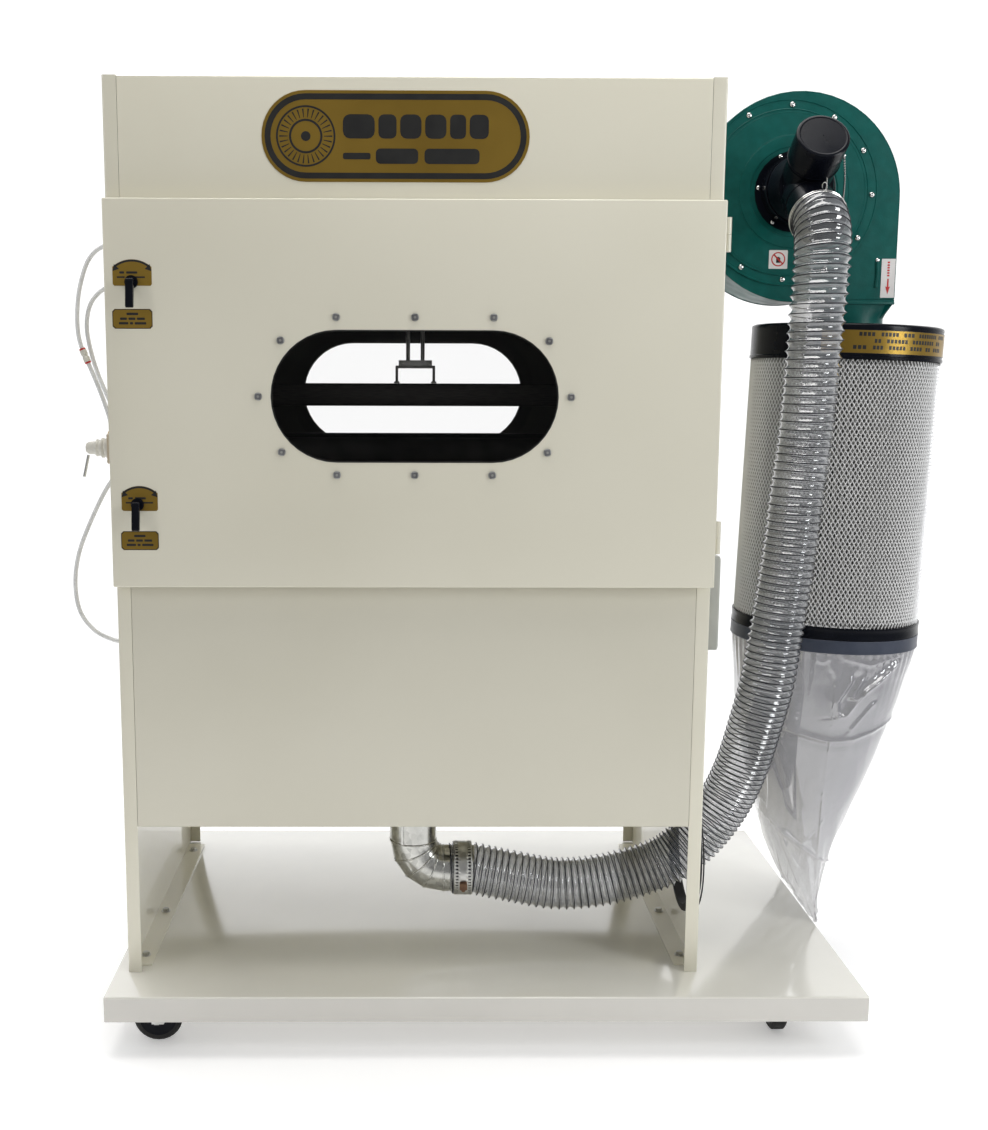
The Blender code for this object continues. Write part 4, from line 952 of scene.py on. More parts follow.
def latch_plates():
    """Gold plates with plain bars round each latch: one with an arch and a curved arrow, one chamfered."""
    face = DOOR_FACE - 0.00005
    gold, black, edges = [], [], []
    for left, right, bottom, top in mm((-571.4, -497.5, 1518, 1567), (-567, -497, 1090.5, 1139)):
        centre, rise, reach = (left + right) / 2, 0.014, (right - left) / 2
        radius = (reach ** 2 + rise ** 2) / (2 * rise)
        half_angle = atan2(reach, radius - rise)

        def arc(inset, steps=16):
            turns = (half_angle * (1 - 2 * k / steps) for k in range(steps + 1))
            return [(centre + (radius - inset) * sin(t), top - radius + (radius - inset) * cos(t))
                    for t in turns]

        gold.append([(left + 0.003, bottom), (right - 0.003, bottom), (right, bottom + 0.003), *arc(0),
                     (left, bottom + 0.003)])
        outside, inside = arc(0.0004), arc(0.0042)
        black.append(outside[1:-1] + inside[-2:0:-1])
        for way, tip in ((1, outside[0]), (-1, outside[-1])):
            black.append([(tip[0], tip[1] - 0.0075), (tip[0] - way * 0.0030, tip[1] + 0.0055),
                          (tip[0] - way * 0.0125, tip[1] - 0.0035)][::way])
        black += bars(left + 0.013, bottom + 0.0225, 0.0042, (0.009, 0.021), 0.004)
        black += bars(left + 0.008, bottom + 0.0145, 0.0030, (0.015, 0.012, 0.020), 0.003)
    for left, right, bottom, top in mm((-574, -498, 1438, 1475), (-570, -497, 1014, 1051)):
        def chamfered(inset, cut=0.0045):
            x0, x1, z0, z1 = left + inset, right - inset, bottom + inset, top - inset
            return [(x0 + cut, z0), (x1 - cut, z0), (x1, z0 + cut), (x1, z1 - cut), (x1 - cut, z1),
                    (x0 + cut, z1), (x0, z1 - cut), (x0, z0 + cut)]

        gold.append(chamfered(0))
        edges.append(frame_strip(chamfered(0.0004), chamfered(0.0016), "Y", face - 0.0003, face - 0.0002))
        for height, widths in ((0.0255, (0.022,)), (0.0165, (0.013, 0.013, 0.015)),
                               (0.0080, (0.018, 0.006, 0.022))):
            run = sum(widths) + 0.003 * (len(widths) - 1)
            black += bars((left + right - run) / 2, bottom + height, 0.0045, widths, 0.003)
    add("latch_plates", printed(gold, face, 0.0002), "gold_foil", "door_leaf")
    add("latch_plate_print", [printed(black, face - 0.0002, 0.0001), *edges], "black_print", "door_leaf")


# ---------------------------------------------------------------- cleaning chamber and controls

def chamber_details():
    """What shows through the window: the lift's bolts and rod feet, and the caps on the blow beam."""
    start, end = low("blow_beam"), high("blow_beam")
    lift = middle("lift_cylinder")
    bolts = [hex_bolt(aim((lift.x + side * 0.032, lift.y - 0.0152, 1.3835), -Y), 0.007, 0.0030, 0.0052)
             for side in (-1, 1)]
    add("end_plate_bolts", bolts, "zinc", "blow_carriage", bevel=0.0003)
    foot = mm((3.6, 0), (7, 0), (7, 3), (5, 5), (3.6, 5))
    feet = [turned(foot, 20, aim((lift.x + side * 0.0445, lift.y, end.z + 0.0002), Z)) for side in (-1, 1)]
    add("yoke_feet", feet, "zinc", "blow_carriage")
    section = rounded(start.y + 0.001, start.z + 0.001, end.y - 0.001, end.z - 0.001, 0.004)
    caps = [prism(section, "X", *stops) for stops in ((end.x + 0.0001, end.x + 0.003),
                                                      (start.x - 0.003, start.x - 0.0001))]
    add("beam_end_caps", caps, "black_plastic", "blow_carriage", bevel=0.0008)


def valve():
    """The foot-style air valve on the left wall: a moulded body, its three ports and its bellows boot."""
    y0, y1, x1 = low("air_valve").y, high("air_valve").y, high("air_valve").x
    x0, z0, z1, seam, inset = -0.6443, 1.167, 1.230, 0.0006, 0.0008
    half = (x0 + x1) / 2 + 0.004
    outline = rounded(y0, z0, y1, z1, 0.004)
    waist = rounded(y0 + inset, z0 + inset, y1 - inset, z1 - inset, 0.004)
    blocks = [prism(outline, "X", x0, half - seam), prism(waist, "X", half - seam, half + seam),
              prism(outline, "X", half + seam, x1)]
    add("valve_body", blocks, "tan_plastic", bevel=0.0010, instead_of=("air_valve",))
    boot = mm((1, 0), (24, 0), (24, 5.5), (19.5, 8.5), (19, 10.5), (21.2, 13), (21.4, 16.5), (17, 19.5),
              (16.5, 22), (18.2, 24.5), (18.2, 28), (14.5, 31), (13.8, 35), (12.8, 45), (9.5, 50), (1, 50))
    add("valve_boot", turned(boot, 40, aim((-0.6440, 0.225, 1.199), -X)), "boot_plastic", sharp=50)
    places = [(x0, y, z) for y in (0.200, 0.250) for z in (1.172, 1.225)]
    add("valve_screws", screw_heads(places, -X, 0.0030, 0.0016), "zinc")
    collar = mm((4.7, 0), (7.6, 0), (7.6, 3), (6.6, 3.6), (6.6, 4.6), (4.7, 4.6))
    ports = []
    for (x, y, _), face, way in ((TUBE_ROUTES["air_tube_upper"][-1], z1, Z),
                                 (TUBE_ROUTES["air_tube_middle"][-1], z1, Z),
                                 (TUBE_ROUTES["air_tube_lower"][0], z0, -Z)):
        ports.append(turned(collar, 20, aim((x, y, face), way)))
    add("valve_ports", ports, "brass", bevel=0.0003)


def control_details():
    """The control box's raised rim, its screws, the buttons' bezels and the cable gland below."""
    box_low, box_high = low("control_box"), high("control_box")
    face, y0, y1, z0, z1 = box_high.x, box_low.y, box_high.y, box_low.z, box_high.z
    outer, inner = (rounded(y0 + inset, z0 + inset, y1 - inset, z1 - inset, radius)
                    for inset, radius in ((0.0045, 0.004), (0.0095, 0.003)))
    add("control_box_rim", frame_strip(outer, inner, "X", face - 0.0002, face + 0.0012), "grey_enamel",
        bevel=0.0005)
    places = [(face, y, z) for y in (y0 + 0.018, y1 - 0.018) for z in (z0 + 0.018, z1 - 0.018)]
    add("control_box_screws", screw_heads(places, X, 0.0040, 0.0020), "zinc")
    bezels = []
    for button in ("start_button", "stop_button"):
        place = middle(button)
        radius = (high(button).y - low(button).y) / 2
        ring = [(radius + r, x) for r, x in mm((0.8, 0), (5, 0), (5, 1.2), (3.6, 2.8), (0.8, 2.8))]
        bezels.append(turned(ring, 40, aim((face, place.y, place.z), X)))
    add("button_bezels", bezels, "chrome")
    gland = mm((1, 0), (10.5, 0), (10.5, 4), (8.5, 5), (8.5, 11), (7, 14), (1, 14))
    place = aim(((box_low.x + box_high.x) / 2, (y0 + y1) / 2, z0), -Z)
    nut = prism(circle(0.0112, 6), "Z", 0.0005, 0.0045, place)
    add("control_box_gland", [turned(gland, 24, place), nut], "black_plastic", bevel=0.0005)


def ring_of_places(centre, y, radius, count, first):
    """Evenly spaced places round a centre given in X and Z, the first one at this many degrees."""
    angles = (radians(first + 360 / count * k) for k in range(count))
    return [(centre[0] + radius * cos(a), y, centre[1] + radius * sin(a)) for a in angles]


# ---------------------------------------------------------------- blower

def blower_details():
    """The inlet cover's screws and ridges, and the outlet's strap, bolts, lip and seams."""
    screws = screw_heads(ring_of_places(SCROLL, COVER_FACE + 0.0015, 0.1805, 12, -1), -Y, 0.0058, 0.0042)
    flange = low("blower_inlet_cover").y - 0.0063
    screws += screw_heads(ring_of_places((FAN.x, FAN.z), flange, 0.078, 6, -125), -Y, 0.0044, 0.0030)
    add("blower_screws", screws, "chrome", bevel=0.0003)
    blower_labels()
    on_cover = COVER_FACE + 0.0003
    ridges = [hoop((x, on_cover, z), Y, radius, wire)
              for x, z, radius, wire in ((*SCROLL, 0.1715, 0.0013), (*SCROLL, 0.1655, 0.0008),
                                         (FAN.x, FAN.z, 0.1180, 0.0009))]
    add("cover_ridges", ridges, "green_paint")

    y0, y1 = HOUSING_LOW.y, HOUSING_HIGH.y
    strap = [(0.9925 + 0.0015 * sin(3 * t), y0 - 0.0012, 1.5430 + 0.053 * t)
             for t in (k / 12 for k in range(13))]
    add("outlet_strap", sweep(strap, 0.0032, 10), "green_paint")
    bolts = screw_heads([(0.9935, y0, 1.6000)], -Y, 0.0044, 0.0028)
    bolts += [hex_bolt(CANISTER @ Matrix.Translation(polar(0.0885, radians(angle))), 0.008, 0.0042, 0.0062)
              for angle in (-128, -96, -60, 20, 90, 160)]
    add("outlet_bolts", bolts, "chrome", bevel=0.0003)
    x0, x1, flange_z = 0.899, HOUSING_HIGH.x, HOUSING_LOW.z
    lip = frame_strip(rounded(x0 - 0.0022, y0 - 0.0022, x1 + 0.0004, y1 + 0.0022, 0.002, 3),
                      rounded(x0 + 0.0005, y0 + 0.0005, x1 - 0.0025, y1 - 0.0005, 0.001, 3), "Z",
                      flange_z - 0.0060, flange_z - 0.0004)
    add("outlet_lip", lip, "green_paint", bevel=0.0010)
    rims = [sweep([(x, y, z) for x, z in housing_edge()], 0.0017) for y in (y0 + 0.0012, y1 - 0.0012)]
    add("housing_seams", rims, "green_paint")


def blower_labels():
    """Two white labels with generic marks: a ringed bar on the cover, and an arrow by the outlet."""
    face, arrow_face = COVER_FACE - 0.0001, HOUSING_LOW.y - 0.0001
    x, z, arrow_x = 0.779, 1.601, 1.018
    white = [printed([rounded(0.759, 1.581, 0.799, 1.620, 0.0015)], face),
             printed([rounded(1.003, 1.521, 1.033, 1.603, 0.0012)], arrow_face)]
    add("plain_labels", white, "white_label")
    ring = frame_strip(circle(0.0150, 40, x, z), circle(0.0126, 40, x, z), "Y", face - 0.0005, face - 0.0003)
    slash = prism([(x + a * 0.0095 + b * 0.0011, z - a * 0.0095 + b * 0.0011)
                   for a, b in ((-1, -1), (1, -1), (1, 1), (-1, 1))], "Y", face - 0.0005, face - 0.0003)
    arrow = [(arrow_x + across / 1000, height / 1000)
             for across, height in ((-1.6, 1561), (-1.6, 1544), (-5, 1545), (0, 1528), (5, 1545),
                                    (1.6, 1544), (1.6, 1561))]
    letters = [rounded(1.0155, 1.566 + 0.0055 * k, 1.0205, 1.5695 + 0.0055 * k, 0.0008, 2)
               for k in range(6)]
    red = printed([arrow, *letters], arrow_face - 0.0003, 0.0002)
    add("plain_label_print", [ring, slash, red], "stop_red", slot="")
    mark = [circle(0.0045, 20, x, 1.6015), rounded(0.7745, 1.5935, 0.7835, 1.600, 0.001, 2)]
    add("plain_label_mark", printed(mark, face - 0.0003, 0.0001), "black_print")


def housing_edge():
    """The scroll's round edge, from the outlet's right side over the top and round to its left side."""
    centre_x = 0.8165
    radius = HOUSING_HIGH.x - centre_x - 0.0012
    centre_z = HOUSING_HIGH.z - radius - 0.0018
    arc = (radians(4 * k) for k in range(72))
    return [(centre_x + radius, 1.5220),
            *((centre_x + radius * cos(a), centre_z + radius * sin(a)) for a in arc)]


def motor_details():
    """The motor's cooling fins, fan cowl, terminal lid, screws and foot plate."""
    count, rib = 44, ((0.0856, -0.030), (0.0915, -0.018), (0.0915, 0.018), (0.0856, 0.030))
    fins = [(FAN.x + r * cos(tau * k / count + a), FAN.z + r * sin(tau * k / count + a))
            for k in range(count) for r, a in rib]
    add("motor_fins", prism(fins, "Y", 0.472, 0.636), "motor_black")
    cowl = mm((84.5, 0), (90.5, 0), (90.5, 36), (88, 41), (70, 50), (69, 48), (60, 50), (59, 53),
              (47, 54.5), (46, 51.5), (37, 52.5), (36, 55.5), (22, 56), (0, 56), (0, 52), (69, 44),
              (84.5, 36))
    add("motor_cowl", turned(cowl, 56, aim((FAN.x, 0.6385, FAN.z), Y)), "motor_black", sharp=40)
    lid = prism(rounded(FAN.x - 0.033, 0.527, FAN.x + 0.033, 0.613, 0.006), "Z", 1.8482, 1.8535)
    add("terminal_lid", lid, "motor_black", bevel=0.0014)
    places = [(FAN.x + side * 0.0265, y, 1.8535) for side in (-1, 1) for y in (0.5345, 0.6055)]
    bolts = [hex_bolt(aim((FAN.x + side * 0.068, y, 1.6462), Z), 0.010, 0.005, 0.009)
             for side in (-1, 1) for y in (0.505, 0.635)]
    add("motor_screws", [*screw_heads(places, Z, 0.0036, 0.0020), *bolts], "zinc", bevel=0.0003)
    feet = prism(rounded(FAN.x - 0.080, 0.490, FAN.x + 0.080, 0.650, 0.006), "Z", 1.64605, 1.6520)
    add("motor_foot_plate", feet, "motor_black", bevel=0.0010)


def wye_details():
    """Raised rings where the wye's branches begin, the cap's rim, and its bead chain."""
    seams = [turned([(DUCT_R - 0.001, 0), (DUCT_R + rise, 0.0004), (DUCT_R + rise, 0.0020),
                     (DUCT_R - 0.001, 0.0024)], 56, aim(WYE_FORK + way * reach, way))
             for rise, way, reach in ((0.0014, BRANCH_UP, 0.0775), (0.0012, BRANCH_DOWN, 0.074))]
    seams.append(turned(mm((71.5, 0), (73.5, 0.6), (73.5, 2.6), (71.5, 3.2)), 56,
                        aim((FAN.x, WYE_FORK.y + 0.0105, FAN.z), -Y)))
    add("wye_seams", seams, "black_plastic", sharp=50)
    reach, outer = 0.150 + 0.0003, DUCT_R + 0.0028
    rims = [turned([(outer + r, h) for r, h in mm(*profile)], 56, aim(WYE_FORK + BRANCH_UP * at, BRANCH_UP))
            for at, profile in ((reach - 0.065, ((-1, -0.1), (0.9, 0.4), (0.9, 2.4), (-1, 2.8))),
                                (reach, ((-8.5, 3), (-7, 4.2), (-4, 4.4), (-2.2, 3.4))))]
    add("cap_rims", rims, "black_plastic", "branch_cap", sharp=60)

    start, end, links = Vector((0.8555, 0.131, 1.788)), Vector((0.8600, 0.158, 1.672)), 27
    bead = mm((0, -2.4), (1.7, -1.7), (2.4, 0), (1.7, 1.7), (0, 2.4))
    chain = []
    for k in range(links + 1):
        share = k / links
        point = start.lerp(end, share) + Vector((0.004, -0.004, -0.004)) * 4 * share * (1 - share)
        chain.append(turned(bead, 10, Matrix.Translation(point)))
    chain += screw_heads([start], (end - start).cross(X), 0.0032, 0.0020)
    chain = add("cap_chain", chain, "chrome", None)
    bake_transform(chain)


# ---------------------------------------------------------------- elbow

def elbow_details():
    """Crimped beads and mitre seams on the sheet elbow, and the lock seam of its stub."""
    y, mouth, bend = HOSE_ROUTE[0][1], 0.363, 0.065
    bead = mm((-0.5, -2.2), (1.2, -1.4), (1.6, 0), (1.2, 1.4), (-0.5, 2.2))
    stops = [(Vector((0, y, z)), Z) for z in (0.4440, 0.4300, 0.3640)]
    for angle in (k * pi / 8 for k in range(1, 5)):
        stops.append((Vector((bend - bend * cos(angle), y, mouth - bend * sin(angle))),
                      Vector((sin(angle), 0, -cos(angle)))))
    rings = [turned([(DUCT_R + r, h) for r, h in bead], 56, aim(centre, way)) for centre, way in stops]
    add("elbow_beads", rings, "galvanised", sharp=60)
    angle, skin = radians(-118), DUCT_R + 0.0004
    seam = Matrix.Translation(Vector((0, y, 0)) + polar(skin, angle))
    lock = prism(rounded(-0.0035, -0.0012, 0.0035, 0.0012, 0.0010, 3), "Z", 0.3660, 0.4420,
                 seam @ Matrix.Rotation(angle + pi / 2, 4, "Z"))
    ways = [polar(1, radians(turn)) for turn in (-150, -75, 0, 120)]
    rivets = [screw_head(aim(Vector((0, y, 0.437)) + skin * way, way), 0.0036, 0.0020) for way in ways]
    add("elbow_seam", [lock, *rivets], "galvanised", bevel=0.0004)


# ---------------------------------------------------------------- canister filter

def curved_patch(radius, start, end, bottom, top, thickness, corner=0.0):
    """A thin patch on a cylinder's wall, in the canister's own frame, between two angles and heights."""
    steps = max(2, round(abs(end - start) / radians(2.5)))
    rows = []
    for step in range(steps + 1):
        share = step / steps
        angle = start + (end - start) * share
        arc = radius * min(share, 1 - share) * abs(end - start)
        cut = corner * (1 - min(1.0, arc / corner)) if corner else 0.0
        section = ((radius, bottom + cut), (radius, top - cut), (radius + thickness, top - cut),
                   (radius + thickness, bottom + cut))
        rows.append([CANISTER @ polar(r, angle, z) for r, z in section])
    return lofted(rows, ends=True)


def lid_band():
    """The lid's gold band with blank bars for its lettering, and the lid's rolled rims."""
    start, end, low_z, high_z = radians(-122), radians(-8), -0.0605, -0.0125
    band, sheet = CANISTER_R + 0.0001, 0.0004
    add("gold_band_label", curved_patch(band, start, end, low_z, high_z, sheet, 0.002), "gold_foil")
    ink = band + sheet
    patches = [curved_patch(ink, start, end, z, z + 0.0007, 0.0001) for z in (low_z, high_z - 0.0007)]
    rows = mm((34, 40, 29, 64, 36), (15, 50, 70, 20), (29, 23, 40, 34, 18, 36))
    for row, (widths, first) in enumerate(zip(rows, (-101, -92, -104))):
        angle = radians(first)
        height = high_z - 0.0125 - 0.0135 * row
        for width in widths:
            turn, letters = width / ink, max(2, round(width / 0.0085))
            for k in range(letters):
                a0 = angle + turn * k / letters
                patches.append(curved_patch(ink, a0, a0 + turn / letters * 0.72, height, height + 0.0080,
                                            0.0001))
            angle += turn + 0.011 / ink
    add("gold_band_print", patches, "black_print")
    rims = [turned([(CANISTER_R + r, z) for r, z in mm(*profile)], 120, CANISTER)
            for profile in (((-1, -8.5), (0, -8), (0, -4), (-1, -1.2), (-6, 1.2), (-14, 1.4), (-16, -0.2)),
                            ((-0.5, -72.2), (1, -72), (1.2, -66.5), (-0.5, -65)))]
    rims.append(turned(mm((81, -0.2), (96, -0.2), (96, 1.8), (80, 3)), 64, CANISTER))
    add("lid_rims", rims, "black_plastic", sharp=50)


def mesh_sleeve():
    """Expanded metal round the filter: strands that part round diamond-shaped holes."""
    around, half_rows, open_share = 136, 72, 0.70
    top, bottom, ridge, trough = -0.0725, -0.6413, 0.2006, 0.1988
    ways = ((1, 0), (0, 1), (-1, 0), (0, -1))
    bm = bmesh.new()

    def at(column, row, radius):
        angle, height = pi * column / around, top + (bottom - top) * row / half_rows
        return bm.verts.new(CANISTER @ polar(radius, angle, height))

    joints = {(column, row): at(column, row, ridge) for row in range(half_rows + 1)
              for column in range(row % 2, 2 * around, 2)}
    for row in range(1, half_rows):
        for column in range((row + 1) % 2, 2 * around, 2):
            hole = [at(column + a * open_share, row + b * open_share, trough) for a, b in ways]
            stitch(bm, [joints[(column + a) % (2 * around), row + b] for a, b in ways], hole)
    add("mesh_sleeve", to_mesh(bm, outward=False), "mesh_metal", slot="zinc", sharp=70)


def filter_pleats():
    """The cartridge's pleats, which lean a little this way and that."""
    count, steps, rows = 80, 6, 40
    outer, inner, top, bottom = 0.1968, 0.1700, -0.0726, -0.6413
    loops = []
    for row in range(rows + 1):
        z = top + (bottom - top) * row / rows
        loop = []
        for turn in (k / steps for k in range(count * steps)):
            wave = abs(2 * (turn % 1) - 1) ** 0.8
            lean = 0.010 * noise.noise(Vector((turn * 0.9, z * 2.2, 3)))
            angle = tau * (turn + lean * 9) / count
            radius = inner + (outer - inner) * wave
            loop.append(CANISTER @ polar(radius, angle, z))
        loops.append(loop)
    add("filter_pleats", lofted(loops), "filter_media", sharp=60, instead_of=("filter_cartridge",))


def band_details():
    """The bag clamp's rolled edges and its over-centre latch, and the collar's face."""
    rims = [turned([(0.2030 + 0.0018 * cos(a), z + 0.0014 * sin(a)) for a in (tau * k / 8 for k in range(8))],
                   120, CANISTER) for z in (-0.6690, -0.6955)]
    add("band_rims", rims, "band_grey", sharp=70)
    place = CANISTER @ Matrix.Rotation(radians(62), 4, "Z") @ Matrix.Translation((0.2048, 0, -0.682))
    bail = mm((3.5, -26, -6), (5.2, -8, -6), (5.2, -8, 6), (3.5, -26, 6))
    pin = [place @ Vector((0.0030, 0.020, z)) for z in (-0.0085, 0.0085)]
    parts = [prism(rounded(-0.030, -0.0095, 0.030, 0.0095, 0.003), "X", 0.0, 0.0012, place),
             prism(rounded(-0.020, -0.0070, 0.026, 0.0070, 0.003), "X", 0.0045, 0.0062, place),
             sweep([place @ Vector(point) for point in bail], 0.0012), bar(*pin, 0.0022)]
    add("band_latch", parts, "zinc", bevel=0.0004)
    face = mm((202.5, -641.2), (204.2, -641.6), (204.4, -644), (203.6, -647), (203.6, -660),
              (204.4, -663), (204.2, -665.5), (202.5, -666))
    add("collar_face", turned(face, 120, CANISTER), "black_plastic", sharp=60)


# ---------------------------------------------------------------- bag

BAG_SLICES = mm((660, 741, 1117, 198), (560, 752, 1083, 190), (460, 774, 1045, 178), (360, 800, 999, 165),
                (260, 834, 957, 152), (190, 866, 936, 142), (134.5, 903, 919, 133))
BAG_DROP = 0.6963
BAG_TOP = 1.460 - cos(CANISTER_LEAN) * BAG_DROP

# Folds in the bag's film as (depth, width, places in X and Z), all in millimetres
FRONT_FOLDS = (
    (2.2, 2.4, ((902, 763), (907, 687), (903, 576), (898, 452), (900, 300))),
    (4, 4.5, ((863, 756), (871, 744), (879, 742), (896, 752), (898, 727))),
    (4, 5.5, ((925, 753), (983, 739), (1061, 757))),
    (7.5, 8.5, ((1050, 742), (969, 680), (932, 629), (917, 625), (913, 659), (941, 707))),
    (5.5, 7, ((963, 707), (943, 669), (950, 664), (1011, 705), (1050, 742))),
    (2.5, 6, ((997, 650), (948, 597))),
    (3, 7, ((790, 592), (807, 588), (856, 576), (902, 567), (955, 571), (1003, 583), (1070, 600))),
    (2.2, 6, ((786, 560), (790, 510), (807, 354))),
    (4, 6, ((766, 442), (792, 398))),
    (4, 5.5, ((785, 374), (836, 332), (896, 292), (960, 262))),
    (4.5, 6, ((817, 344), (867, 229), (912, 137))),
    (4.5, 6, ((788, 364), (826, 280), (900, 140))),
    (3.5, 5.5, ((832, 325), (916, 150))),
    (2.5, 5, ((876, 339), (904, 379))),
)
BACK_FOLDS = (
    (2.2, 2.4, ((918, 763), (912, 600), (905, 400), (908, 140))),
    (6, 10, ((790, 740), (870, 660), (850, 560))),
    (5, 9, ((1080, 730), (1000, 640), (1010, 540))),
    (4.5, 8, ((820, 520), (930, 480), (1030, 500))),
    (4.5, 7, ((850, 400), (890, 240), (908, 140))),
    (4.5, 7, ((960, 380), (930, 250), (914, 140))),
)


def bag_slice(z):
    """The bag's left edge, right edge and half depth at a height, smoothly between its slices."""
    centre = 0.959 - sin(CANISTER_LEAN) * BAG_DROP
    table = [(BAG_TOP, centre - 0.200, centre + 0.200, 0.200), *BAG_SLICES]
    z = min(max(z, table[-1][0]), BAG_TOP)
    span = next(k for k in range(len(table) - 1) if z >= table[k + 1][0])
    t = (table[span][0] - z) / (table[span][0] - table[span + 1][0])
    rows = (table[max(span - 1, 0)], table[span], table[span + 1], table[min(span + 2, len(table) - 1)])
    return [eased(*edges, t) for edges in list(zip(*rows))[1:]]


def fold_depth(x, z, folds):
    """How far the folds, which are given in millimetres, push the film out at a place in X and Z."""
    total, place = 0.0, Vector((x, z)) * 1000
    for depth, width, points in folds:
        nearest, side = 1000.0, 1.0
        for start, end in zip(points, points[1:]):
            start, run = Vector(start), Vector(end) - Vector(start)
            share = min(1.0, max(0.0, (place - start).dot(run) / run.length_squared))
            gap = place - (start + run * share)
            if gap.length < nearest:
                nearest, side = gap.length, 1.0 if run.cross(gap) > 0 else -1.0
        away = nearest / width
        if away < 6:
            total += depth * (1.3 * exp(-away) if side > 0
                              else 1.8 * exp(-2 * away) - 0.5 * exp(-(away / 2.2) ** 2))
    return total / 1000


def make_bag():
    """A clear film bag under its band: puckered at the mouth, folded at the front, flat at its foot."""
    around, rows = ((420, 230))
    foot_z = BAG_SLICES[-1][0] - 0.0030
    bm = bmesh.new()
    loops = []
    for row in range(rows + 1):
        share = row / rows
        z = BAG_TOP + (foot_z - BAG_TOP) * share
        left, right, half_y = bag_slice(z)
        centre, half_x = (left + right) / 2, (right - left) / 2
        flatness = min(1.0, max(0.0, (0.420 - z) / 0.250))
        below = min(1.0, share * 8)
        loop = []
        for k in range(around):
            angle = tau * k / around
            c, s = cos(angle), sin(angle)
            x, y = centre + half_x * c, 0.375 + half_y * s
            tilt = 0.200 * sin(CANISTER_LEAN) * c * max(0.0, 1 - share * 6)
            out = Vector((c * half_y, s * half_x, 0)).normalized()
            pucker = 0.0016 * sin(angle * 58 + 2 * sin(angle * 5)) * exp(-share * 14)
            waves = 0.0035 * noise.noise(Vector((x * 7, y * 7, z * 3.2))) * below
            crumple = abs(noise.noise(Vector((x * 17, y * 17, z * 8 + 7)))) * -0.0032 * below
            folds = fold_depth(x, z, FRONT_FOLDS if s < 0 else BACK_FOLDS) * min(1.0, abs(s) * 6)
            tail = 0.0030 * sin(angle * 14 + z * 30) * flatness * min(1.0, abs(s) * 2)
            away = pucker + waves + crumple + folds * min(1.0, share * 12) + tail - 0.0035 * min(1, share * 9)
            point = Vector((x, y, z - tilt)) + out * away
            point.z = max(point.z, DECK + 0.0012)
            loop.append(bm.verts.new(point))
        loops.append(loop)
    for here, there in zip(loops, loops[1:]):
        stitch(bm, here, there)
    foot, back = loops[-1], around * 3 // 4
    for k in range(around // 4):
        pairs = ((back + k) % around, (back + k + 1) % around, (back - k - 1) % around, (back - k) % around)
        corners = list(dict.fromkeys(foot[pair] for pair in pairs))
        if len(corners) > 2:
            bm.faces.new(corners)
    add("bag_film", to_mesh(bm), "clear_film", sharp=80, instead_of=("dust_bag",))


# ---------------------------------------------------------------- casters

def caster_details():
    """Each caster's hub discs, axle nuts, swivel race and the bolts of its plate."""
    disc = mm((7, -0.5), (38, -0.5), (38, 0.6), (34, 1.2), (31, 0.4), (20, 0.4), (17, 2), (7, 2))
    race = mm((27, -3.5), (30, -3), (30, 0), (27, 0))
    for place, (x, y) in FORK_AXES.items():
        wheel = middle(f"{place}_wheel")
        size = high(f"{place}_wheel") - low(f"{place}_wheel")
        along = X if size.x < size.y else Y
        half_width = min(size.x, size.y) / 2
        ways = (-along, along)
        discs = [turned(disc, 48, aim(wheel + way * half_width, way)) for way in ways]
        add(f"{place}_hub", discs, "black_plastic", f"{place}_roll")
        nuts = [hex_bolt(aim(wheel + way * (half_width + 0.0090), way), 0.016, 0.0060, 0.0100)
                for way in ways]
        add(f"{place}_axle_nuts", nuts, "zinc", f"{place}_caster", bevel=0.0004)
        add(f"{place}_race", turned(race, 40, aim((x, y, high(f"{place}_fork").z), Z)), "zinc")
        bolts = [hex_bolt(aim((x + dx, y + dy, DECK - 0.0070), -Z), 0.010, 0.005, 0.008)
                 for dx in (-0.038, 0.038) for dy in (-0.034, 0.034)]
        add(f"{place}_plate_bolts", bolts, "zinc", bevel=0.0003)


# ---------------------------------------------------------------- surroundings

def make_stage():
    """A pale floor, darker in front of the machine and fading out far from it."""
    reach, level, bm = 4.5, -0.0005, bmesh.new()
    bm.faces.new([bm.verts.new((x, y, level)) for x, y in circle(reach, 96)])
    mesh = to_mesh(bm, outward=False)
    look = Look("pale_floor", (0.93, 0.93, 0.93), 0.6)
    pale = look.mottled((0.91, 0.91, 0.915), 2.0, 3)
    look.bump((look.noise(30, 3), 0.02, 0.001))
    depth = look.node("SeparateXYZ", "Y", Vector=look.place)
    away = look.node("VectorMath", "Value", [("operation", "LENGTH")], Vector=look.place)
    look.surface(Base_Color=look.blended(look.span(depth, -2.4, -1.0, 0, 1), (0.52, 0.52, 0.52), pale),
                 Emission_Color=(1, 1, 1), Emission_Strength=look.span(depth, -2.4, -1.0, 0.06, 0.30),
                 Alpha=look.span(away, 1.6, reach * 0.98, 1, 0))
    mesh.materials.append(look.material)
    plane = linked("floor", mesh)


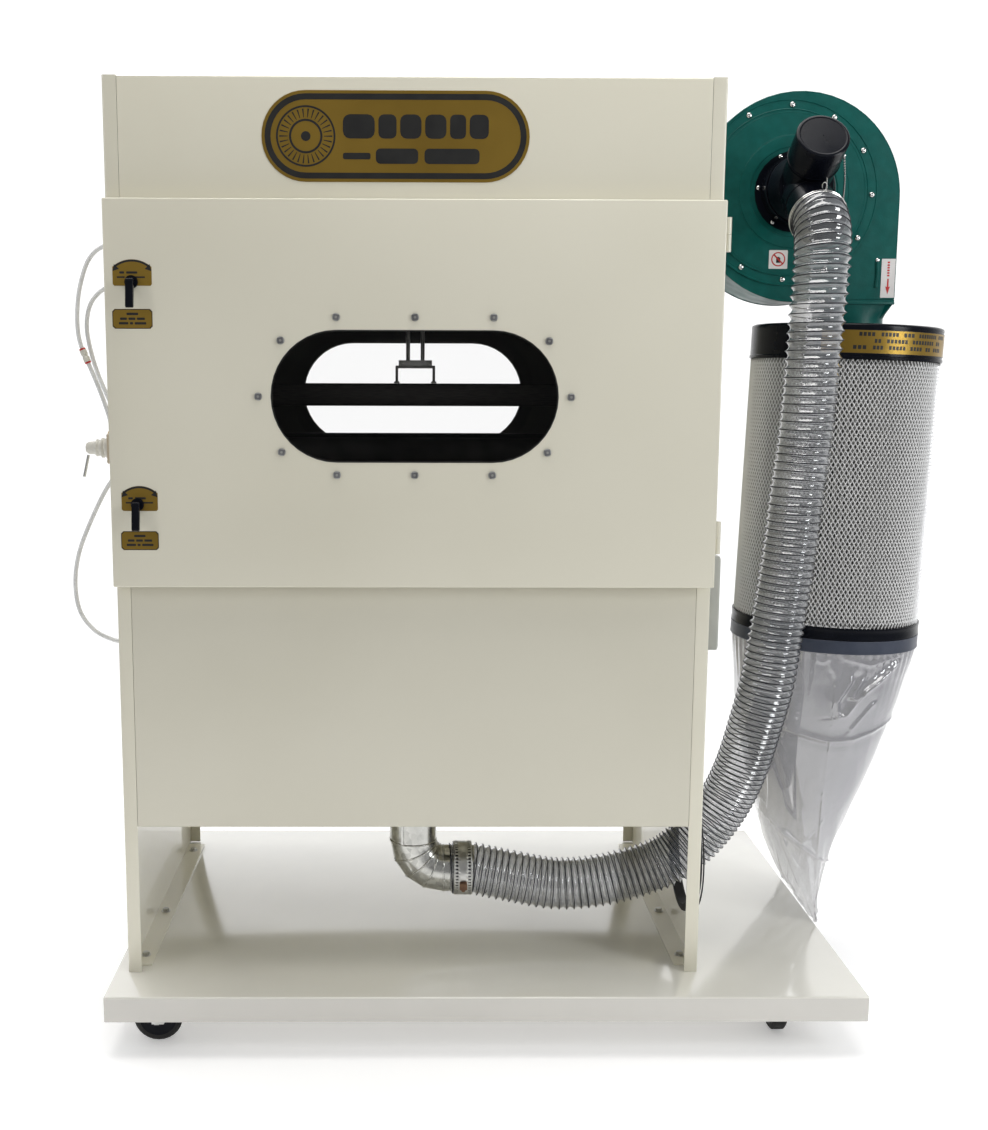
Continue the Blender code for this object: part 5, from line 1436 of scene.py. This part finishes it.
def make_world():
    """White behind the machine, and dimmer towards the front so that its faces keep their shape."""
    world = bpy.data.worlds.new("studio")
    world.use_nodes = True
    bpy.context.scene.world = world
    nodes, links = world.node_tree.nodes, world.node_tree.links
    background = nodes["Background"]
    background.inputs["Color"].default_value = (1, 1, 1, 1)
    place = nodes.new("ShaderNodeTexCoord")
    split = nodes.new("ShaderNodeSeparateXYZ")
    links.new(place.outputs["Generated"], split.inputs["Vector"])
    ramp = nodes.new("ShaderNodeMapRange")
    ramp.interpolation_type = "SMOOTHSTEP"
    for socket, value in (("From Min", -0.10), ("From Max", 0.72), ("To Min", 0.30), ("To Max", 1.14)):
        ramp.inputs[socket].default_value = value
    links.new(split.outputs["Y"], ramp.inputs["Value"])
    links.new(ramp.outputs["Result"], background.inputs["Strength"])


def softbox(name, place, target, size, power, colour=(1, 1, 1)):
    data = bpy.data.lights.new(name, "AREA")
    data.shape = "RECTANGLE"
    data.size, data.size_y = size
    data.energy = power
    data.color = colour
    lamp = linked(name, data)
    place = Vector(place)
    turn = (Vector(target) - place).to_track_quat("-Z", "Y")
    lamp.matrix_world = Matrix.Translation(place) @ turn.to_matrix().to_4x4()


def make_lights():
    softbox("overhead", (-0.2, -0.1, 3.9), (-0.1, 0.1, 0), (3.2, 2.4), 104, (1.0, 0.985, 0.96))
    softbox("right_edge", (3.0, -2.3, 2.1), (0.8, 0, 1.1), (1.0, 1.6), 46, (0.96, 0.98, 1.0))
    softbox("left_edge", (-2.9, -2.2, 2.4), (0.6, 0, 1.1), (0.5, 1.2), 12, (1.0, 0.99, 0.97))


# ---------------------------------------------------------------- all of it

FORK_AXES = {"front_left": (-0.4826, -0.022), "front_right": (0.758, -0.022),
             "rear_left": (-0.4826, 0.745), "rear_right": (0.758, 0.745)}

bpy.context.scene.view_settings.view_transform = "Standard"
make_camera()
LOOKS = make_materials()
for step in (make_cords, dress_cad_nodes, name_plate, cabinet_details, hinge_leaves, window_nuts,
             latch_plates, chamber_details, valve, control_details, blower_details, motor_details,
             wye_details, elbow_details, lid_band, mesh_sleeve, filter_pleats, band_details, make_bag,
             caster_details, make_stage, make_world, make_lights):
    step()
